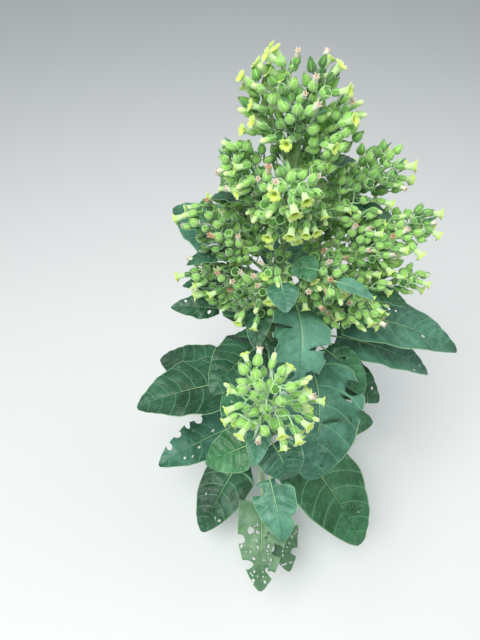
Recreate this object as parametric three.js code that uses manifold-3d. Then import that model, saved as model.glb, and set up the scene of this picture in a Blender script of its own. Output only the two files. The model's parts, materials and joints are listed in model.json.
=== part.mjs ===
// A tobacco plant of the small yellow-flowered kind, rooted and in full flower and fruit.
// Millimetres, +Z up. The origin is the middle of the flat cut under the main stem, at ground level.
// Bearings are in degrees about +Z: 0 is +X, the plant's right, and -90 is its front, towards -Y.

import * as THREE from "three";
import { mergeVertices } from "three/addons/utils/BufferGeometryUtils.js";
import Module from "manifold-3d";

const wasm = await Module();
wasm.setup();

// The gap that is left between two pieces that touch on the real plant.
const SEAT_GAP = 0.3;

// How near two vertices lie to be one, and the step along a curve that gives its direction.
const SAME_POINT = 1e-3;
const CURVE_STEP = 1e-3;

// Looks of each kind of piece: colour and roughness.
const LOOKS = {
  stem: { color: 0x7fa06a, roughness: 0.6 },
  shoot: { color: 0x86a873, roughness: 0.6 },
  flowers: { color: 0x9cc25a, roughness: 0.75 },
  leaf: { color: 0x4a7a5c, roughness: 0.55 },
};

// The main stem: height to where it enters the top flower mass, radii, and how it leans and bows.
const STEM = {
  length: 925,
  footRadius: 8.4,
  tipRadius: 2.4,
  taper: 0.85,
  flareRadius: 5.5,
  flareHeight: 16,
  lean: new THREE.Vector2(20, -3),
  bow: new THREE.Vector2(-5, 4),
  sides: 9,
  segments: 18,
};

// The low side shoot leaves the foot of the stem and leans out to the front.
const SHOOT = {
  start: new THREE.Vector3(0, -7, 34),
  elbow: new THREE.Vector3(-6, -120, 190),
  knee: new THREE.Vector3(-22, -228, 440),
  end: new THREE.Vector3(-28, -262, 700),
  footRadius: 5.6,
  tipRadius: 2.4,
  sides: 8,
  segments: 12,
};

// Each branch of the flower head: the height where it leaves the stem, then the bearing, reach and
// height of its tip, and the radius of the flower mass round its outer part.
const BRANCHES = [
  { name: "top_left", from: 860, bearing: 178, reach: 64, top: 982, mass: 30 },
  { name: "upper_right", from: 815, bearing: 8, reach: 54, top: 960, mass: 36 },
  { name: "upper_left", from: 765, bearing: 180, reach: 90, top: 905, mass: 39 },
  { name: "upper_front", from: 750, bearing: -98, reach: 92, top: 906, mass: 44 },
  { name: "upper_back", from: 790, bearing: 84, reach: 84, top: 915, mass: 42 },
  { name: "left", from: 660, bearing: 176, reach: 140, top: 806, mass: 47 },
  { name: "left_low", from: 600, bearing: 191, reach: 142, top: 730, mass: 43 },
  { name: "front_left", from: 645, bearing: 240, reach: 130, top: 704, mass: 36 },
  { name: "front_low", from: 672, bearing: -98, reach: 104, top: 772, mass: 34 },
  { name: "front", from: 684, bearing: -60, reach: 126, top: 768, mass: 42 },
  { name: "front_right", from: 612, bearing: -33, reach: 180, top: 714, mass: 36 },
  { name: "right_low", from: 622, bearing: -9, reach: 226, top: 716, mass: 42 },
  { name: "right", from: 668, bearing: 0, reach: 208, top: 800, mass: 44 },
  { name: "right_upper", from: 728, bearing: 16, reach: 156, top: 862, mass: 46 },
  { name: "back_right", from: 640, bearing: 48, reach: 172, top: 800, mass: 50 },
  { name: "back_left", from: 652, bearing: 122, reach: 152, top: 796, mass: 50 },
];
const BRANCH = {
  baseRadius: 3.3,
  tipRadius: 1.5,
  sides: 6,
  segments: 5,
  spring: 0.5,
  dip: 0.12,
  bare: 0.28,
};

// The masses that end the stem and the side shoot: how far up, how long and how wide.
const TOP_MASS = { name: "top", centreHeight: 955, halfHeight: 50, radius: 38 };
const SHOOT_MASS = { name: "shoot", aside: 7, forward: 4, rise: 42, halfHeight: 46, radius: 55 };

// How uneven a mass is: its lumps' height as a share of its radius, and how they follow one another.
const MASS = {
  detail: 2,
  lumps: 0.12,
  wave: new THREE.Vector3(4, 5, 7),
  upWaveShare: 0.6,
  shift: new THREE.Vector3(0.11, 0.07, 0.05),
  clearance: 0.4,
};

// Each leaf: what it grows on and how far up, its bearing, the lengths of its stalk and blade, the
// blade's width, how steeply it rises, how far it droops over its length, and how it turns and folds.
const LEAVES = [
  leaf("front_upper", STEM, 649, -65, 95, 127, 94, 40, 132, { roll: -20, sway: -40 }),
  leaf("left_upper", STEM, 562, 181, 98, 82, 48, 27, 34, { roll: -20, fold: 16 }),
  leaf("back_left_upper", STEM, 606, 138, 112, 146, 112, 44, 56),
  leaf("back_upper", STEM, 572, 76, 84, 150, 96, 42, 60),
  leaf("front_right_upper", STEM, 552, -37, 110, 106, 56, 22, 84, { roll: 18, fold: 14 }),
  leaf("right_upper", STEM, 574, -9, 118, 208, 98, 20, 54, { roll: 8, sway: -5 }),
  leaf("right_middle", STEM, 526, -13, 118, 184, 84, 20, 62),
  leaf("front_middle", STEM, 536, -49, 113, 204, 153, 34, 94, { roll: -20, sway: -67 }),
  leaf("front_right_middle", STEM, 474, -29, 96, 132, 106, 24, 60),
  leaf("left_middle", STEM, 500, 234, 52, 134, 98, 42, 66),
  leaf("right_back", STEM, 470, 40, 92, 190, 126, 32, 64),
  leaf("back_middle", STEM, 430, 106, 88, 186, 124, 36, 68),
  leaf("left_broad", STEM, 372, 201, 96, 176, 128, 31, 46),
  leaf("back_lower", STEM, 300, 66, 88, 204, 134, 30, 68),
  leaf("left_back", STEM, 272, 150, 92, 200, 130, 26, 62),
  leaf("left_low", STEM, 232, 212, 94, 168, 104, 24, 36),
  leaf("front_right_low", STEM, 196, -46, 128, 216, 162, 24, 72, { sway: -14 }),
  leaf("right_low", STEM, 150, 8, 92, 196, 128, 22, 54),
  leaf("front_left_low", STEM, 168, 238, 104, 168, 112, 16, 62),
  leaf("shoot_left", SHOOT, 620, 193, 12, 72, 60, -18, 18, { roll: -20 }),
  leaf("shoot_front", SHOOT, 655, -56, 24, 54, 58, 9, 96, { roll: 20 }),
  leaf("shoot_right", SHOOT, 590, -76, 45, 78, 58, 9, 60, { roll: 24 }),
  leaf("shoot_low", SHOOT, 250, -92, 52, 154, 92, 4, 50),
  leaf("shoot_foot", SHOOT, 150, -74, 62, 150, 84, 2, 46),
];
const BLADE = {
  thickness: 1.8,
  stalkWidth: 4.6,
  stalkThickness: 3.8,
  tipWidth: 1.4,
  lobe: 0.1,
  lobeReach: 0.33,
};

// How a leaf's box is divided: a long blade takes more rows and columns than a short one.
const LONG_BLADE = { from: 140, rows: 9, columns: 4 };
const SHORT_BLADE = { rows: 8, columns: 2 };
const STALK_ROWS = 2;
const FIRST_BLADE_ROW = 0.7;

// A leaf's arc: the steps that it is made of, and how late in its length the droop comes.
const ARC = { steps: 24, lateness: 1.25 };

// How a blade's outline runs: how wide it starts, how near the base it is widest, and how full it is.
const OUTLINE = { start: 0.05, skew: 0.68, fullness: 0.64 };

// A leaf's driving sizes under their names.
function leaf(name, on, height, bearing, stalk, length, width, rise, droop, shape = {}) {
  const defaults = { roll: 0, fold: 10, sway: 0 };
  return { name, on, height, bearing, stalk, length, width, rise, droop, ...defaults, ...shape };
}

// A point on the main stem's axis, at a height above the ground.
function stemPoint(height) {
  const share = height / STEM.length;
  const bend = Math.sin(Math.PI * Math.min(share, 1));
  return new THREE.Vector3(
    STEM.lean.x * share ** 2 + STEM.bow.x * bend,
    STEM.lean.y * share ** 2 + STEM.bow.y * bend,
    height,
  );
}

// The main stem's radius at a height: a slow taper, with the root flare in the lowest few centimetres.
function stemRadius(height) {
  const share = Math.max(0, 1 - height / STEM.length);
  const shaft = STEM.tipRadius + (STEM.footRadius - STEM.tipRadius) * share ** STEM.taper;
  return shaft + STEM.flareRadius * Math.exp(-height / STEM.flareHeight);
}

const shootCurve = new THREE.CatmullRomCurve3([SHOOT.start, SHOOT.elbow, SHOOT.knee, SHOOT.end]);

// The place on the side shoot's axis at a height above the ground.
function shootPoint(height) {
  let low = 0;
  let high = 1;
  for (let step = 0; step < 24; step++) {
    const middle = (low + high) / 2;
    if (shootCurve.getPoint(middle).z < height) low = middle;
    else high = middle;
  }
  return shootCurve.getPoint(low);
}

// Turns a geometry into a solid: only its positions are kept, and its shared vertices are merged.
function toSolid(geometry) {
  const bare = geometry.clone();
  for (const name of ["normal", "uv"]) bare.deleteAttribute(name);
  const merged = mergeVertices(bare, SAME_POINT);
  return new wasm.Manifold(
    new wasm.Mesh({
      numProp: 3,
      vertProperties: merged.attributes.position.array,
      triVerts: new Uint32Array(merged.index.array),
    }),
  );
}

// Turns a solid back into a geometry.
function toGeometry(solid) {
  const mesh = solid.getMesh();
  const geometry = new THREE.BufferGeometry();
  geometry.setAttribute("position", new THREE.BufferAttribute(mesh.vertProperties, 3));
  geometry.setIndex(new THREE.BufferAttribute(mesh.triVerts, 1));
  geometry.computeVertexNormals();
  return geometry;
}

// Moves every vertex of a geometry through a function.
function reshape(geometry, place) {
  const positions = geometry.attributes.position;
  const point = new THREE.Vector3();
  for (let i = 0; i < positions.count; i++) {
    point.fromBufferAttribute(positions, i);
    place(point);
    positions.setXYZ(i, point.x, point.y, point.z);
  }
  return geometry;
}

// A limb: a closed cylinder of unit height bent along a curve, with its own radius at each place.
function limb(pointAt, radiusAt, sides, segments, grow = 0) {
  const geometry = new THREE.CylinderGeometry(1, 1, 1, sides, segments);
  return reshape(geometry, (point) => {
    const share = point.y + 0.5;
    const centre = pointAt(share);
    const ahead = pointAt(Math.min(1, share + CURVE_STEP));
    const along = ahead.sub(pointAt(Math.max(0, share - CURVE_STEP))).normalize();
    const across = new THREE.Vector3(0, 1, 0).cross(along).normalize();
    const over = along.clone().cross(across);
    const radius = radiusAt(share) + grow;
    const round = across.multiplyScalar(point.z * radius).add(over.multiplyScalar(point.x * radius));
    point.copy(centre).add(round);
  });
}

// The main stem stands on a flat cut, so its lowest ring is pressed level with the ground.
function mainStem(grow = 0) {
  const geometry = limb(
    (share) => stemPoint(share * STEM.length),
    (share) => stemRadius(share * STEM.length),
    STEM.sides,
    STEM.segments,
    grow,
  );
  const lowestRing = STEM.length / STEM.segments / 2;
  return reshape(geometry, (point) => {
    if (point.z < lowestRing) point.z = 0;
  });
}

function sideShoot(grow = 0) {
  return limb(
    (share) => shootCurve.getPoint(share),
    (share) => THREE.MathUtils.lerp(SHOOT.footRadius, SHOOT.tipRadius, share),
    SHOOT.sides,
    SHOOT.segments,
    grow,
  );
}

// A branch springs from the stem's axis, rises at first and then reaches out to its tip.
function branchCurve(branch) {
  const start = stemPoint(branch.from);
  const tip = new THREE.Vector3(branch.reach, 0, 0);
  tip.applyAxisAngle(new THREE.Vector3(0, 0, 1), THREE.MathUtils.degToRad(branch.bearing));
  tip.add(stemPoint(branch.top)).setZ(branch.top);
  const middle = start.clone().lerp(tip, BRANCH.spring);
  middle.z -= BRANCH.spring * BRANCH.dip * branch.reach;
  return new THREE.QuadraticBezierCurve3(start, middle, tip);
}

function branchLimb(branch, grow = 0) {
  const curve = branchCurve(branch);
  const reachIn = (BRANCH.bare + 1) / 2;
  return limb(
    (share) => curve.getPoint(share * reachIn),
    (share) => THREE.MathUtils.lerp(BRANCH.baseRadius, BRANCH.tipRadius, share),
    BRANCH.sides,
    BRANCH.segments,
    grow,
  );
}

// Where a flower mass lies: its middle, the line that it follows and its two radii.
function branchMass(branch) {
  const curve = branchCurve(branch);
  const inner = curve.getPoint(BRANCH.bare);
  const outer = curve.getPoint(1);
  const axis = outer.clone().sub(inner);
  return {
    name: branch.name,
    centre: inner.add(outer).multiplyScalar(0.5),
    halfLength: axis.length() / 2,
    axis: axis.normalize(),
    radius: branch.mass,
  };
}

function endMass(spec, centre, axis) {
  return { name: spec.name, centre, axis, halfLength: spec.halfHeight, radius: spec.radius };
}

// A plane that parts two masses, as far from the middle of each as their sizes there ask for.
function partingPlane(mass, other) {
  const normal = other.centre.clone().sub(mass.centre);
  const distance = normal.length();
  normal.divideScalar(distance);
  const ownReach = reachAlong(mass, normal);
  const otherReach = reachAlong(other, normal);
  const offset = (distance * ownReach) / (ownReach + otherReach) - MASS.clearance;
  return { normal, offset };
}

// How far an egg-shaped mass reaches from its middle in a direction.
function reachAlong(mass, direction) {
  const along = direction.dot(mass.axis) / mass.halfLength;
  const across = Math.sqrt(Math.max(0, 1 - direction.dot(mass.axis) ** 2)) / mass.radius;
  return 1 / Math.hypot(along, across);
}

// A flat wall against the stem, so that a mass stays outside it.
function stemPlane(mass) {
  const stem = stemPoint(mass.centre.z);
  const normal = stem.sub(mass.centre).setZ(0);
  const distance = normal.length();
  const spread = stemRadius(mass.centre.z - mass.halfLength) + STEM.tipRadius;
  return { normal: normal.divideScalar(distance), offset: distance - spread };
}

// An uneven egg round its middle, flattened by the planes that part it from its neighbours.
function flowerMass(mass, planes, grow = 0) {
  const phase = mass.centre.dot(MASS.shift);
  return reshape(new THREE.IcosahedronGeometry(1, MASS.detail), (point) => {
    const level = Math.sin(MASS.wave.x * point.x + phase) * Math.sin(MASS.wave.y * point.y - phase);
    const lump = level + MASS.upWaveShare * Math.sin(MASS.wave.z * point.z + 2 * phase);
    const direction = point.clone().normalize();
    let radius = reachAlong(mass, direction) * (1 + MASS.lumps * lump);
    for (const plane of planes) {
      const facing = direction.dot(plane.normal);
      if (facing > 0) radius = Math.min(radius, plane.offset / facing);
    }
    point.copy(mass.centre).addScaledVector(direction, radius + grow);
  });
}

// The outline of a leaf: half its width, as a share, at a place from the stalk (0) to the tip (1).
function outline(place) {
  const swell = Math.sin(Math.PI * (OUTLINE.start + (1 - OUTLINE.start) * place) ** OUTLINE.skew);
  return Math.max(0, swell) ** OUTLINE.fullness;
}

// A leaf: a box bent along the leaf's own arc, narrow in its stalk and spread to its outline.
function leafBlade(spec) {
  const { rows, columns } = spec.length > LONG_BLADE.from ? LONG_BLADE : SHORT_BLADE;
  const bladeRows = rows - STALK_ROWS - FIRST_BLADE_ROW;
  const base = spec.on === STEM ? stemPoint(spec.height) : shootPoint(spec.height);
  const total = spec.stalk + spec.length;
  const line = leafLine(spec, base, total);
  const geometry = new THREE.BoxGeometry(1, 1, 1, rows, columns, 1);
  const roll = THREE.MathUtils.degToRad(spec.roll);
  const fold = THREE.MathUtils.degToRad(spec.fold);
  return reshape(geometry, (point) => {
    const row = Math.round((point.x + 0.5) * rows);
    const side = point.y * 2;
    const layer = point.z;
    const inStalk = row <= STALK_ROWS;
    const place = inStalk ? 0 : (row - STALK_ROWS - FIRST_BLADE_ROW) / bladeRows;
    const half = inStalk
      ? BLADE.stalkWidth / 2
      : Math.max((spec.width / 2) * outline(place), BLADE.tipWidth);
    const thickness = inStalk ? BLADE.stalkThickness : BLADE.thickness;
    const nearStalk = Math.max(0, 1 - place / BLADE.lobeReach);
    const lobe = BLADE.lobe * spec.length * Math.abs(side) * nearStalk;
    const along = inStalk ? (spec.stalk * row) / STALK_ROWS : spec.stalk + place * spec.length - lobe;
    const at = line(along);
    const across = at.side.clone().multiplyScalar(Math.cos(roll)).addScaledVector(at.up, Math.sin(roll));
    const up = at.up.clone().multiplyScalar(Math.cos(roll)).addScaledVector(at.side, -Math.sin(roll));
    const lift = inStalk ? 0 : Math.abs(side) * half * Math.sin(fold);
    point
      .copy(at.point)
      .addScaledVector(across, side * half * (inStalk ? 1 : Math.cos(fold)))
      .addScaledVector(up, lift + layer * thickness);
  });
}

// The arc of a leaf's midrib: it rises from its base and droops more and more towards its tip.
function leafLine(spec, base, total) {
  const knots = [];
  const point = base.clone();
  for (let i = 0; i <= ARC.steps; i++) {
    const share = i / ARC.steps;
    const elevation = THREE.MathUtils.degToRad(spec.rise - spec.droop * share ** ARC.lateness);
    const bearing = THREE.MathUtils.degToRad(spec.bearing + spec.sway * share);
    const forward = new THREE.Vector3(
      Math.cos(elevation) * Math.cos(bearing),
      Math.cos(elevation) * Math.sin(bearing),
      Math.sin(elevation),
    );
    const side = new THREE.Vector3(-Math.sin(bearing), Math.cos(bearing), 0);
    knots.push({ point: point.clone(), side, up: forward.clone().cross(side) });
    point.addScaledVector(forward, total / ARC.steps);
  }
  return (along) => {
    const place = THREE.MathUtils.clamp((along / total) * ARC.steps, 0, ARC.steps);
    const knot = Math.min(Math.floor(place), ARC.steps - 1);
    const before = knots[knot];
    const after = knots[knot + 1];
    const mix = place - knot;
    return {
      point: before.point.clone().lerp(after.point, mix),
      side: before.side.clone().lerp(after.side, mix).normalize(),
      up: before.up.clone().lerp(after.up, mix).normalize(),
    };
  };
}

// A finished piece of the plant.
function piece(name, solid, look) {
  const material = new THREE.MeshStandardMaterial({ ...look, metalness: 0 });
  const mesh = new THREE.Mesh(toGeometry(solid), material);
  mesh.name = name;
  return mesh;
}

// The largest body of a solid, for a limb or leaf whose cut leaves a crumb behind.
function largestBody(solid) {
  return solid.decompose().reduce((best, body) => (body.volume() > best.volume() ? body : best));
}

const plant = new THREE.Group();
const masses = BRANCHES.map(branchMass);
masses.push(endMass(TOP_MASS, stemPoint(TOP_MASS.centreHeight), new THREE.Vector3(0, 0, 1)));
const shootMassOffset = new THREE.Vector3(SHOOT_MASS.aside, -SHOOT_MASS.forward, SHOOT_MASS.rise);
const shootTop = SHOOT.end.clone().add(shootMassOffset);
masses.push(endMass(SHOOT_MASS, shootTop, new THREE.Vector3(0, 0, 1)));
const planesOf = new Map(
  masses.map((mass) => {
    const planes = masses.filter((other) => other !== mass).map((other) => partingPlane(mass, other));
    const besideStem = mass.name !== TOP_MASS.name && mass.name !== SHOOT_MASS.name;
    if (besideStem) planes.push(stemPlane(mass));
    return [mass, planes];
  }),
);
const massSolid = (mass, grow) => toSolid(flowerMass(mass, planesOf.get(mass), grow));
const massNamed = (name) => masses.find((mass) => mass.name === name);

const stemWide = toSolid(mainStem(SEAT_GAP));
const shootWide = toSolid(sideShoot(SEAT_GAP));
const topWide = massSolid(massNamed(TOP_MASS.name), SEAT_GAP);
const shootTopWide = massSolid(massNamed(SHOOT_MASS.name), SEAT_GAP);

plant.add(piece("main_stem", toSolid(mainStem()).subtract(topWide), LOOKS.stem));
const shoot = toSolid(sideShoot()).subtract(stemWide).subtract(shootTopWide);
plant.add(piece("side_shoot", largestBody(shoot), LOOKS.shoot));

const branchWides = [];
for (const branch of BRANCHES) {
  const ownMass = massSolid(massNamed(branch.name), SEAT_GAP);
  const cut = toSolid(branchLimb(branch)).subtract(stemWide).subtract(ownMass);
  plant.add(piece(`branch_${branch.name}`, largestBody(cut), LOOKS.shoot));
  branchWides.push({ name: branch.name, solid: toSolid(branchLimb(branch, SEAT_GAP)) });
}

for (const mass of masses) {
  let solid = massSolid(mass);
  for (const wide of branchWides) {
    if (wide.name !== mass.name) solid = solid.subtract(wide.solid);
  }
  plant.add(piece(`flowers_${mass.name}`, largestBody(solid), LOOKS.flowers));
}

for (const spec of LEAVES) {
  const seat = spec.on === STEM ? stemWide : shootWide;
  const blade = toSolid(leafBlade(spec)).subtract(seat);
  plant.add(piece(`leaf_${spec.name}`, largestBody(blade), LOOKS.leaf));
}

export default plant;
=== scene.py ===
# A tobacco plant in full flower and fruit: its stems, leaves and flower head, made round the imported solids.
# Sizes are in millimetres until a mesh is made, where MM turns them into metres.
# Bearings are in degrees about +Z: 0 is +X, and -90 is the plant's front, towards -Y.
import itertools
import json
import math
import random

import bmesh
import bpy
from mathutils import Matrix, Vector, noise
from mathutils.bvhtree import BVHTree

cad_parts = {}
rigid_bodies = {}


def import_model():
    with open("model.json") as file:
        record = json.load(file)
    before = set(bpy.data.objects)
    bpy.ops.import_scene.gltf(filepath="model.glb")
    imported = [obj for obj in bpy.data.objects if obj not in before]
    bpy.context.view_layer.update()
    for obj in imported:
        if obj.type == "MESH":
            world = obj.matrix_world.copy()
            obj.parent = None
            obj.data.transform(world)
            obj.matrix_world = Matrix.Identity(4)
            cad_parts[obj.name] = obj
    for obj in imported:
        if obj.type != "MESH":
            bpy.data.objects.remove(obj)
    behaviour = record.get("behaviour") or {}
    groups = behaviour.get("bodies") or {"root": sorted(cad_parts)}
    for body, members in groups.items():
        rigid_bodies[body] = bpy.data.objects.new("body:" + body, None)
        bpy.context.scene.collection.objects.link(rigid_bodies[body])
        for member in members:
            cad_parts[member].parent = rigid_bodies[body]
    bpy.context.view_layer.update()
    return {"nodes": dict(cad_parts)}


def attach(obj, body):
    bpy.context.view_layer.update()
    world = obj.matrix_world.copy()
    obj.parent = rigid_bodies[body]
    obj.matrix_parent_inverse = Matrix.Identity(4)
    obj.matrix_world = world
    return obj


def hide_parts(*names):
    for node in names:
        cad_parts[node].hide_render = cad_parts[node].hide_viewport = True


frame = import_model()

MM = 0.001
UP = Vector((0, 0, 1))

# Camera: it looks down on the plant from its front, at the photograph's height and angle.
CAMERA_PLACE = (-0.054, -0.55, 1.2)
CAMERA_PITCH_DOWN = 49
CAMERA_LENS = 27.17



def scene_object(name, data):
    """A new object in the scene, at the origin."""
    made = bpy.data.objects.new(name, data)
    bpy.context.scene.collection.objects.link(made)
    return made


camera = scene_object("camera", bpy.data.cameras.new("camera"))
camera.location = CAMERA_PLACE
camera.rotation_euler = (math.radians(90 - CAMERA_PITCH_DOWN), 0, 0)
camera.data.lens = CAMERA_LENS
camera.data.sensor_width = 36
camera.data.clip_start = 0.01
bpy.context.scene.camera = camera


# Named sizes of the plant, the same as those of its solids.

STEM = {
    "length": 925, "foot": 8.4, "tip": 2.4, "taper": 0.85, "flare": 5.5, "flare_height": 16, "step": 5.0,
    "flat_below": 0.5,
}
STEM_LEAN = Vector((20, -3, 0))
STEM_BOW = Vector((-5, 4, 0))
SHOOT_KNOTS = [(0, -7, 34), (-6, -120, 190), (-22, -228, 440), (-28, -262, 700)]
SHOOT = {"foot": 5.6, "tip": 2.4, "joints": (120, 240, 330, 410, 470, 560)}

# Each bough of the flower head: where it leaves the stem, its bearing, reach and the height of its tip.
BOUGHS = {
    "top_left": (860, 178, 64, 982),
    "upper_right": (815, 8, 54, 960),
    "upper_left": (765, 180, 90, 905),
    "upper_front": (750, -98, 92, 906),
    "upper_back": (790, 84, 84, 915),
    "left": (660, 176, 140, 806),
    "left_low": (600, 191, 142, 730),
    "front_left": (645, 240, 130, 704),
    "front_low": (672, -98, 104, 772),
    "front": (684, -60, 126, 768),
    "front_right": (612, -33, 180, 714),
    "right_low": (622, -9, 226, 716),
    "right": (668, 0, 208, 800),
    "right_upper": (728, 16, 156, 862),
    "back_right": (640, 48, 172, 800),
    "back_left": (652, 122, 152, 796),
}
BOUGH = {"base": 3.3, "tip": 1.0, "taper": 0.8, "spring": 0.5, "sag": 0.12}
# A bough's line runs in steps. Its skin ends, and its mass and its inner sprays start, at these of them.
BOUGH_STEPS = {"all": 30, "skin_ends": 27, "mass_starts": 8, "spray_starts": 6}


def leaf(on, height, bearing, stalk, length, width, rise, droop, tint, **shape):
    """A leaf's driving sizes under their names, with those of its shape that are seldom changed. It grows
    on the stem, on the shoot or a share of the way along a bough. A clear leaf keeps organs off its blade,
    and a fine one has all its columns of faces."""
    sizes = {
        "roll": 0, "fold": 10, "sway": 0, "lobe": 0.26, "wave": 4.0, "bites": (), "holes": 2,
        "clear": True, "fine": True,
    }
    sizes.update(
        on=on, height=height, bearing=bearing, stalk=stalk, length=length, width=width,
        rise=rise, droop=droop, tint=tint,
    )
    sizes.update(shape)
    return sizes


# Bites are (place along the blade, place across it from -1 to 1, radius, stretch across, turn).
LEAVES = {
    "front_upper": leaf(
        "stem", 649, -65, 95, 127, 94, 40, 132, "pale_blue", sway=-40, roll=-20, lobe=0.12, wave=3, holes=0,
        bites=[
            (0.22, -0.72, 2.6, 6.4, 4), (0.24, -1.0, 6, 1.0, 0), (0.40, -1.0, 7, 1.0, 0),
            (0.66, -0.98, 9, 1.5, 0), (0.76, -0.62, 7, 1.3, -20), (0.45, 0.66, 3.6, 5.0, 8),
            (0.50, 1.0, 11, 1.0, 0), (0.80, 0.78, 10, 1.1, 20), (0.93, 0.9, 7, 1.0, 0),
        ],
    ),
    "left_upper": leaf("stem", 562, 181, 98, 82, 48, 27, 34, "deep", roll=-20, fold=16, lobe=0.12),
    "back_left_upper": leaf("stem", 606, 138, 112, 146, 112, 44, 56, "blue"),
    "back_upper": leaf("stem", 572, 76, 84, 150, 96, 42, 60, "blue"),
    "front_right_upper": leaf(
        "stem", 552, -37, 110, 106, 56, 22, 84, "green", roll=18, fold=14, lobe=0.12, wave=2
    ),
    "right_upper": leaf("stem", 574, -9, 118, 208, 98, 20, 54, "blue", roll=8, sway=-5, lobe=0.18, holes=5),
    "right_middle": leaf("stem", 526, -13, 118, 184, 84, 20, 62, "blue", lobe=0.18),
    "front_middle": leaf(
        "stem", 536, -49, 113, 204, 153, 34, 94, "blue", sway=-67, roll=-20, wave=5, holes=4,
        bites=[
            (0.29, 0.84, 13, 1.5, 30), (0.38, 0.60, 3.4, 3.0, -24), (0.54, 0.30, 3.4, 4.4, 14),
            (0.48, 1.0, 6, 1.2, 0), (0.72, -0.98, 8, 1.4, 0),
        ],
    ),
    "front_right_middle": leaf("stem", 474, -29, 96, 132, 106, 24, 60, "deep"),
    "left_middle": leaf("stem", 500, 234, 52, 134, 98, 42, 66, "deep"),
    "right_back": leaf("stem", 470, 40, 92, 190, 126, 32, 64, "green"),
    "back_middle": leaf("stem", 430, 106, 88, 186, 124, 36, 68, "green"),
    "left_broad": leaf("stem", 372, 201, 96, 176, 128, 31, 46, "deep", wave=5),
    "back_lower": leaf("stem", 300, 66, 88, 204, 134, 30, 68, "green", holes=4),
    "left_back": leaf("stem", 272, 150, 92, 200, 130, 26, 62, "deep", holes=4),
    "left_low": leaf(
        "stem", 232, 212, 94, 168, 104, 24, 36, "blue", wave=5, holes=4,
        bites=[
            (0.30, -0.95, 9, 1.2, 0), (0.46, -1.0, 7, 1.6, 10), (0.62, -0.95, 8, 1.0, 0),
            (0.78, -0.8, 6, 1.5, 0),
        ],
    ),
    "front_right_low": leaf("stem", 196, -46, 128, 216, 162, 24, 72, "green", sway=-14, lobe=0.34, wave=4),
    "right_low": leaf("stem", 150, 8, 92, 196, 128, 22, 54, "green", holes=5),
    "front_left_low": leaf("stem", 168, 238, 104, 168, 112, 16, 62, "deep", holes=4),
    "shoot_left": leaf("shoot", 620, 193, 12, 72, 60, -18, 18, "fresh", roll=-20, lobe=0.1, wave=2, holes=0),
    "shoot_front": leaf("shoot", 655, -56, 24, 54, 58, 9, 96, "blue", roll=20, lobe=0.1, wave=2, holes=0),
    "shoot_right": leaf(
        "shoot", 590, -76, 45, 78, 58, 9, 60, "mist", roll=24, lobe=0.12, wave=2.5, holes=0,
        bites=[(0.05, 0.9, 6, 1.6, 0), (0.12, -0.9, 7, 1.4, 0), (0.62, 0.98, 4, 1.5, 0)],
    ),
    "shoot_low": leaf(
        "shoot", 250, -92, 52, 154, 92, 4, 50, "dull", wave=8, holes=44,
        bites=[
            (0.22, 0.9, 9, 1.3, 0), (0.40, -0.95, 9, 1.2, 0), (0.52, 0.8, 11, 1.2, 0),
            (0.68, -0.85, 9, 1.3, 0), (0.78, 0.85, 7, 1.0, 0), (0.30, -0.45, 6, 1.2, 30),
        ],
    ),
    "shoot_foot": leaf(
        "shoot", 150, -74, 62, 150, 84, 2, 46, "dull", wave=7, holes=34,
        bites=[(0.35, 0.95, 10, 1.2, 0), (0.58, -0.9, 11, 1.2, 0), (0.75, 0.85, 8, 1.2, 0)],
    ),
}
# Small leaves among the boughs and at the side shoot's cluster. No solid stands for them.
SMALL_LEAVES = {
    "crown_centre": leaf(
        ("front_low", 0.85), 0, -84, 12, 44, 42, 0, 30, "blue", fold=6, lobe=0.04, wave=1.5, holes=0
    ),
    "crown_front": leaf(
        ("front", 0.85), 0, 180, 26, 38, 38, 60, 106, "green",
        roll=-20, fold=4, lobe=0.05, wave=1, holes=0,
    ),
    "crown_right": leaf(
        ("front", 0.85), 0, -28, 8, 54, 26, 10, 40, "pale_blue", lobe=0.04, wave=1, holes=0
    ),
    "cluster_front": leaf(
        "shoot", 692, -100, 8, 52, 30, 0, 20, "pale_blue", lobe=0.05, wave=1.5, holes=0, clear=False
    ),
    "cluster_left": leaf(
        "shoot", 616, 116, 18, 86, 68, 8, 34, "green", lobe=0.1, wave=2, holes=1, clear=False
    ),
    "cluster_back": leaf(
        "shoot", 694, 82, 8, 42, 22, 30, 20, "blue", lobe=0.05, wave=1.5, holes=0, clear=False
    ),
}
# A leaf below each of these boughs: how far along it grows, and how far it turns from the bough's bearing.
UNDER_LEAVES = {
    "left": (0.42, 16), "left_low": (0.5, -20), "front_left": (0.45, 24), "front_right": (0.5, 18),
    "right_low": (0.55, -14), "right": (0.5, 12), "right_upper": (0.45, -24), "back_right": (0.5, 20),
    "back_left": (0.5, -16), "upper_back": (0.4, 14), "upper_left": (0.35, -20), "upper_right": (0.3, 24),
}
# These leaves all take the deep tint, which is partly painted shade under the boughs.
for bough, (share, aside) in UNDER_LEAVES.items():
    SMALL_LEAVES[f"under_{bough}"] = leaf(
        (bough, share), 0, BOUGHS[bough][1] + aside, 14, 74, 40, 12, 46, "deep", lobe=0.1, wave=2, holes=1
    )
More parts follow.
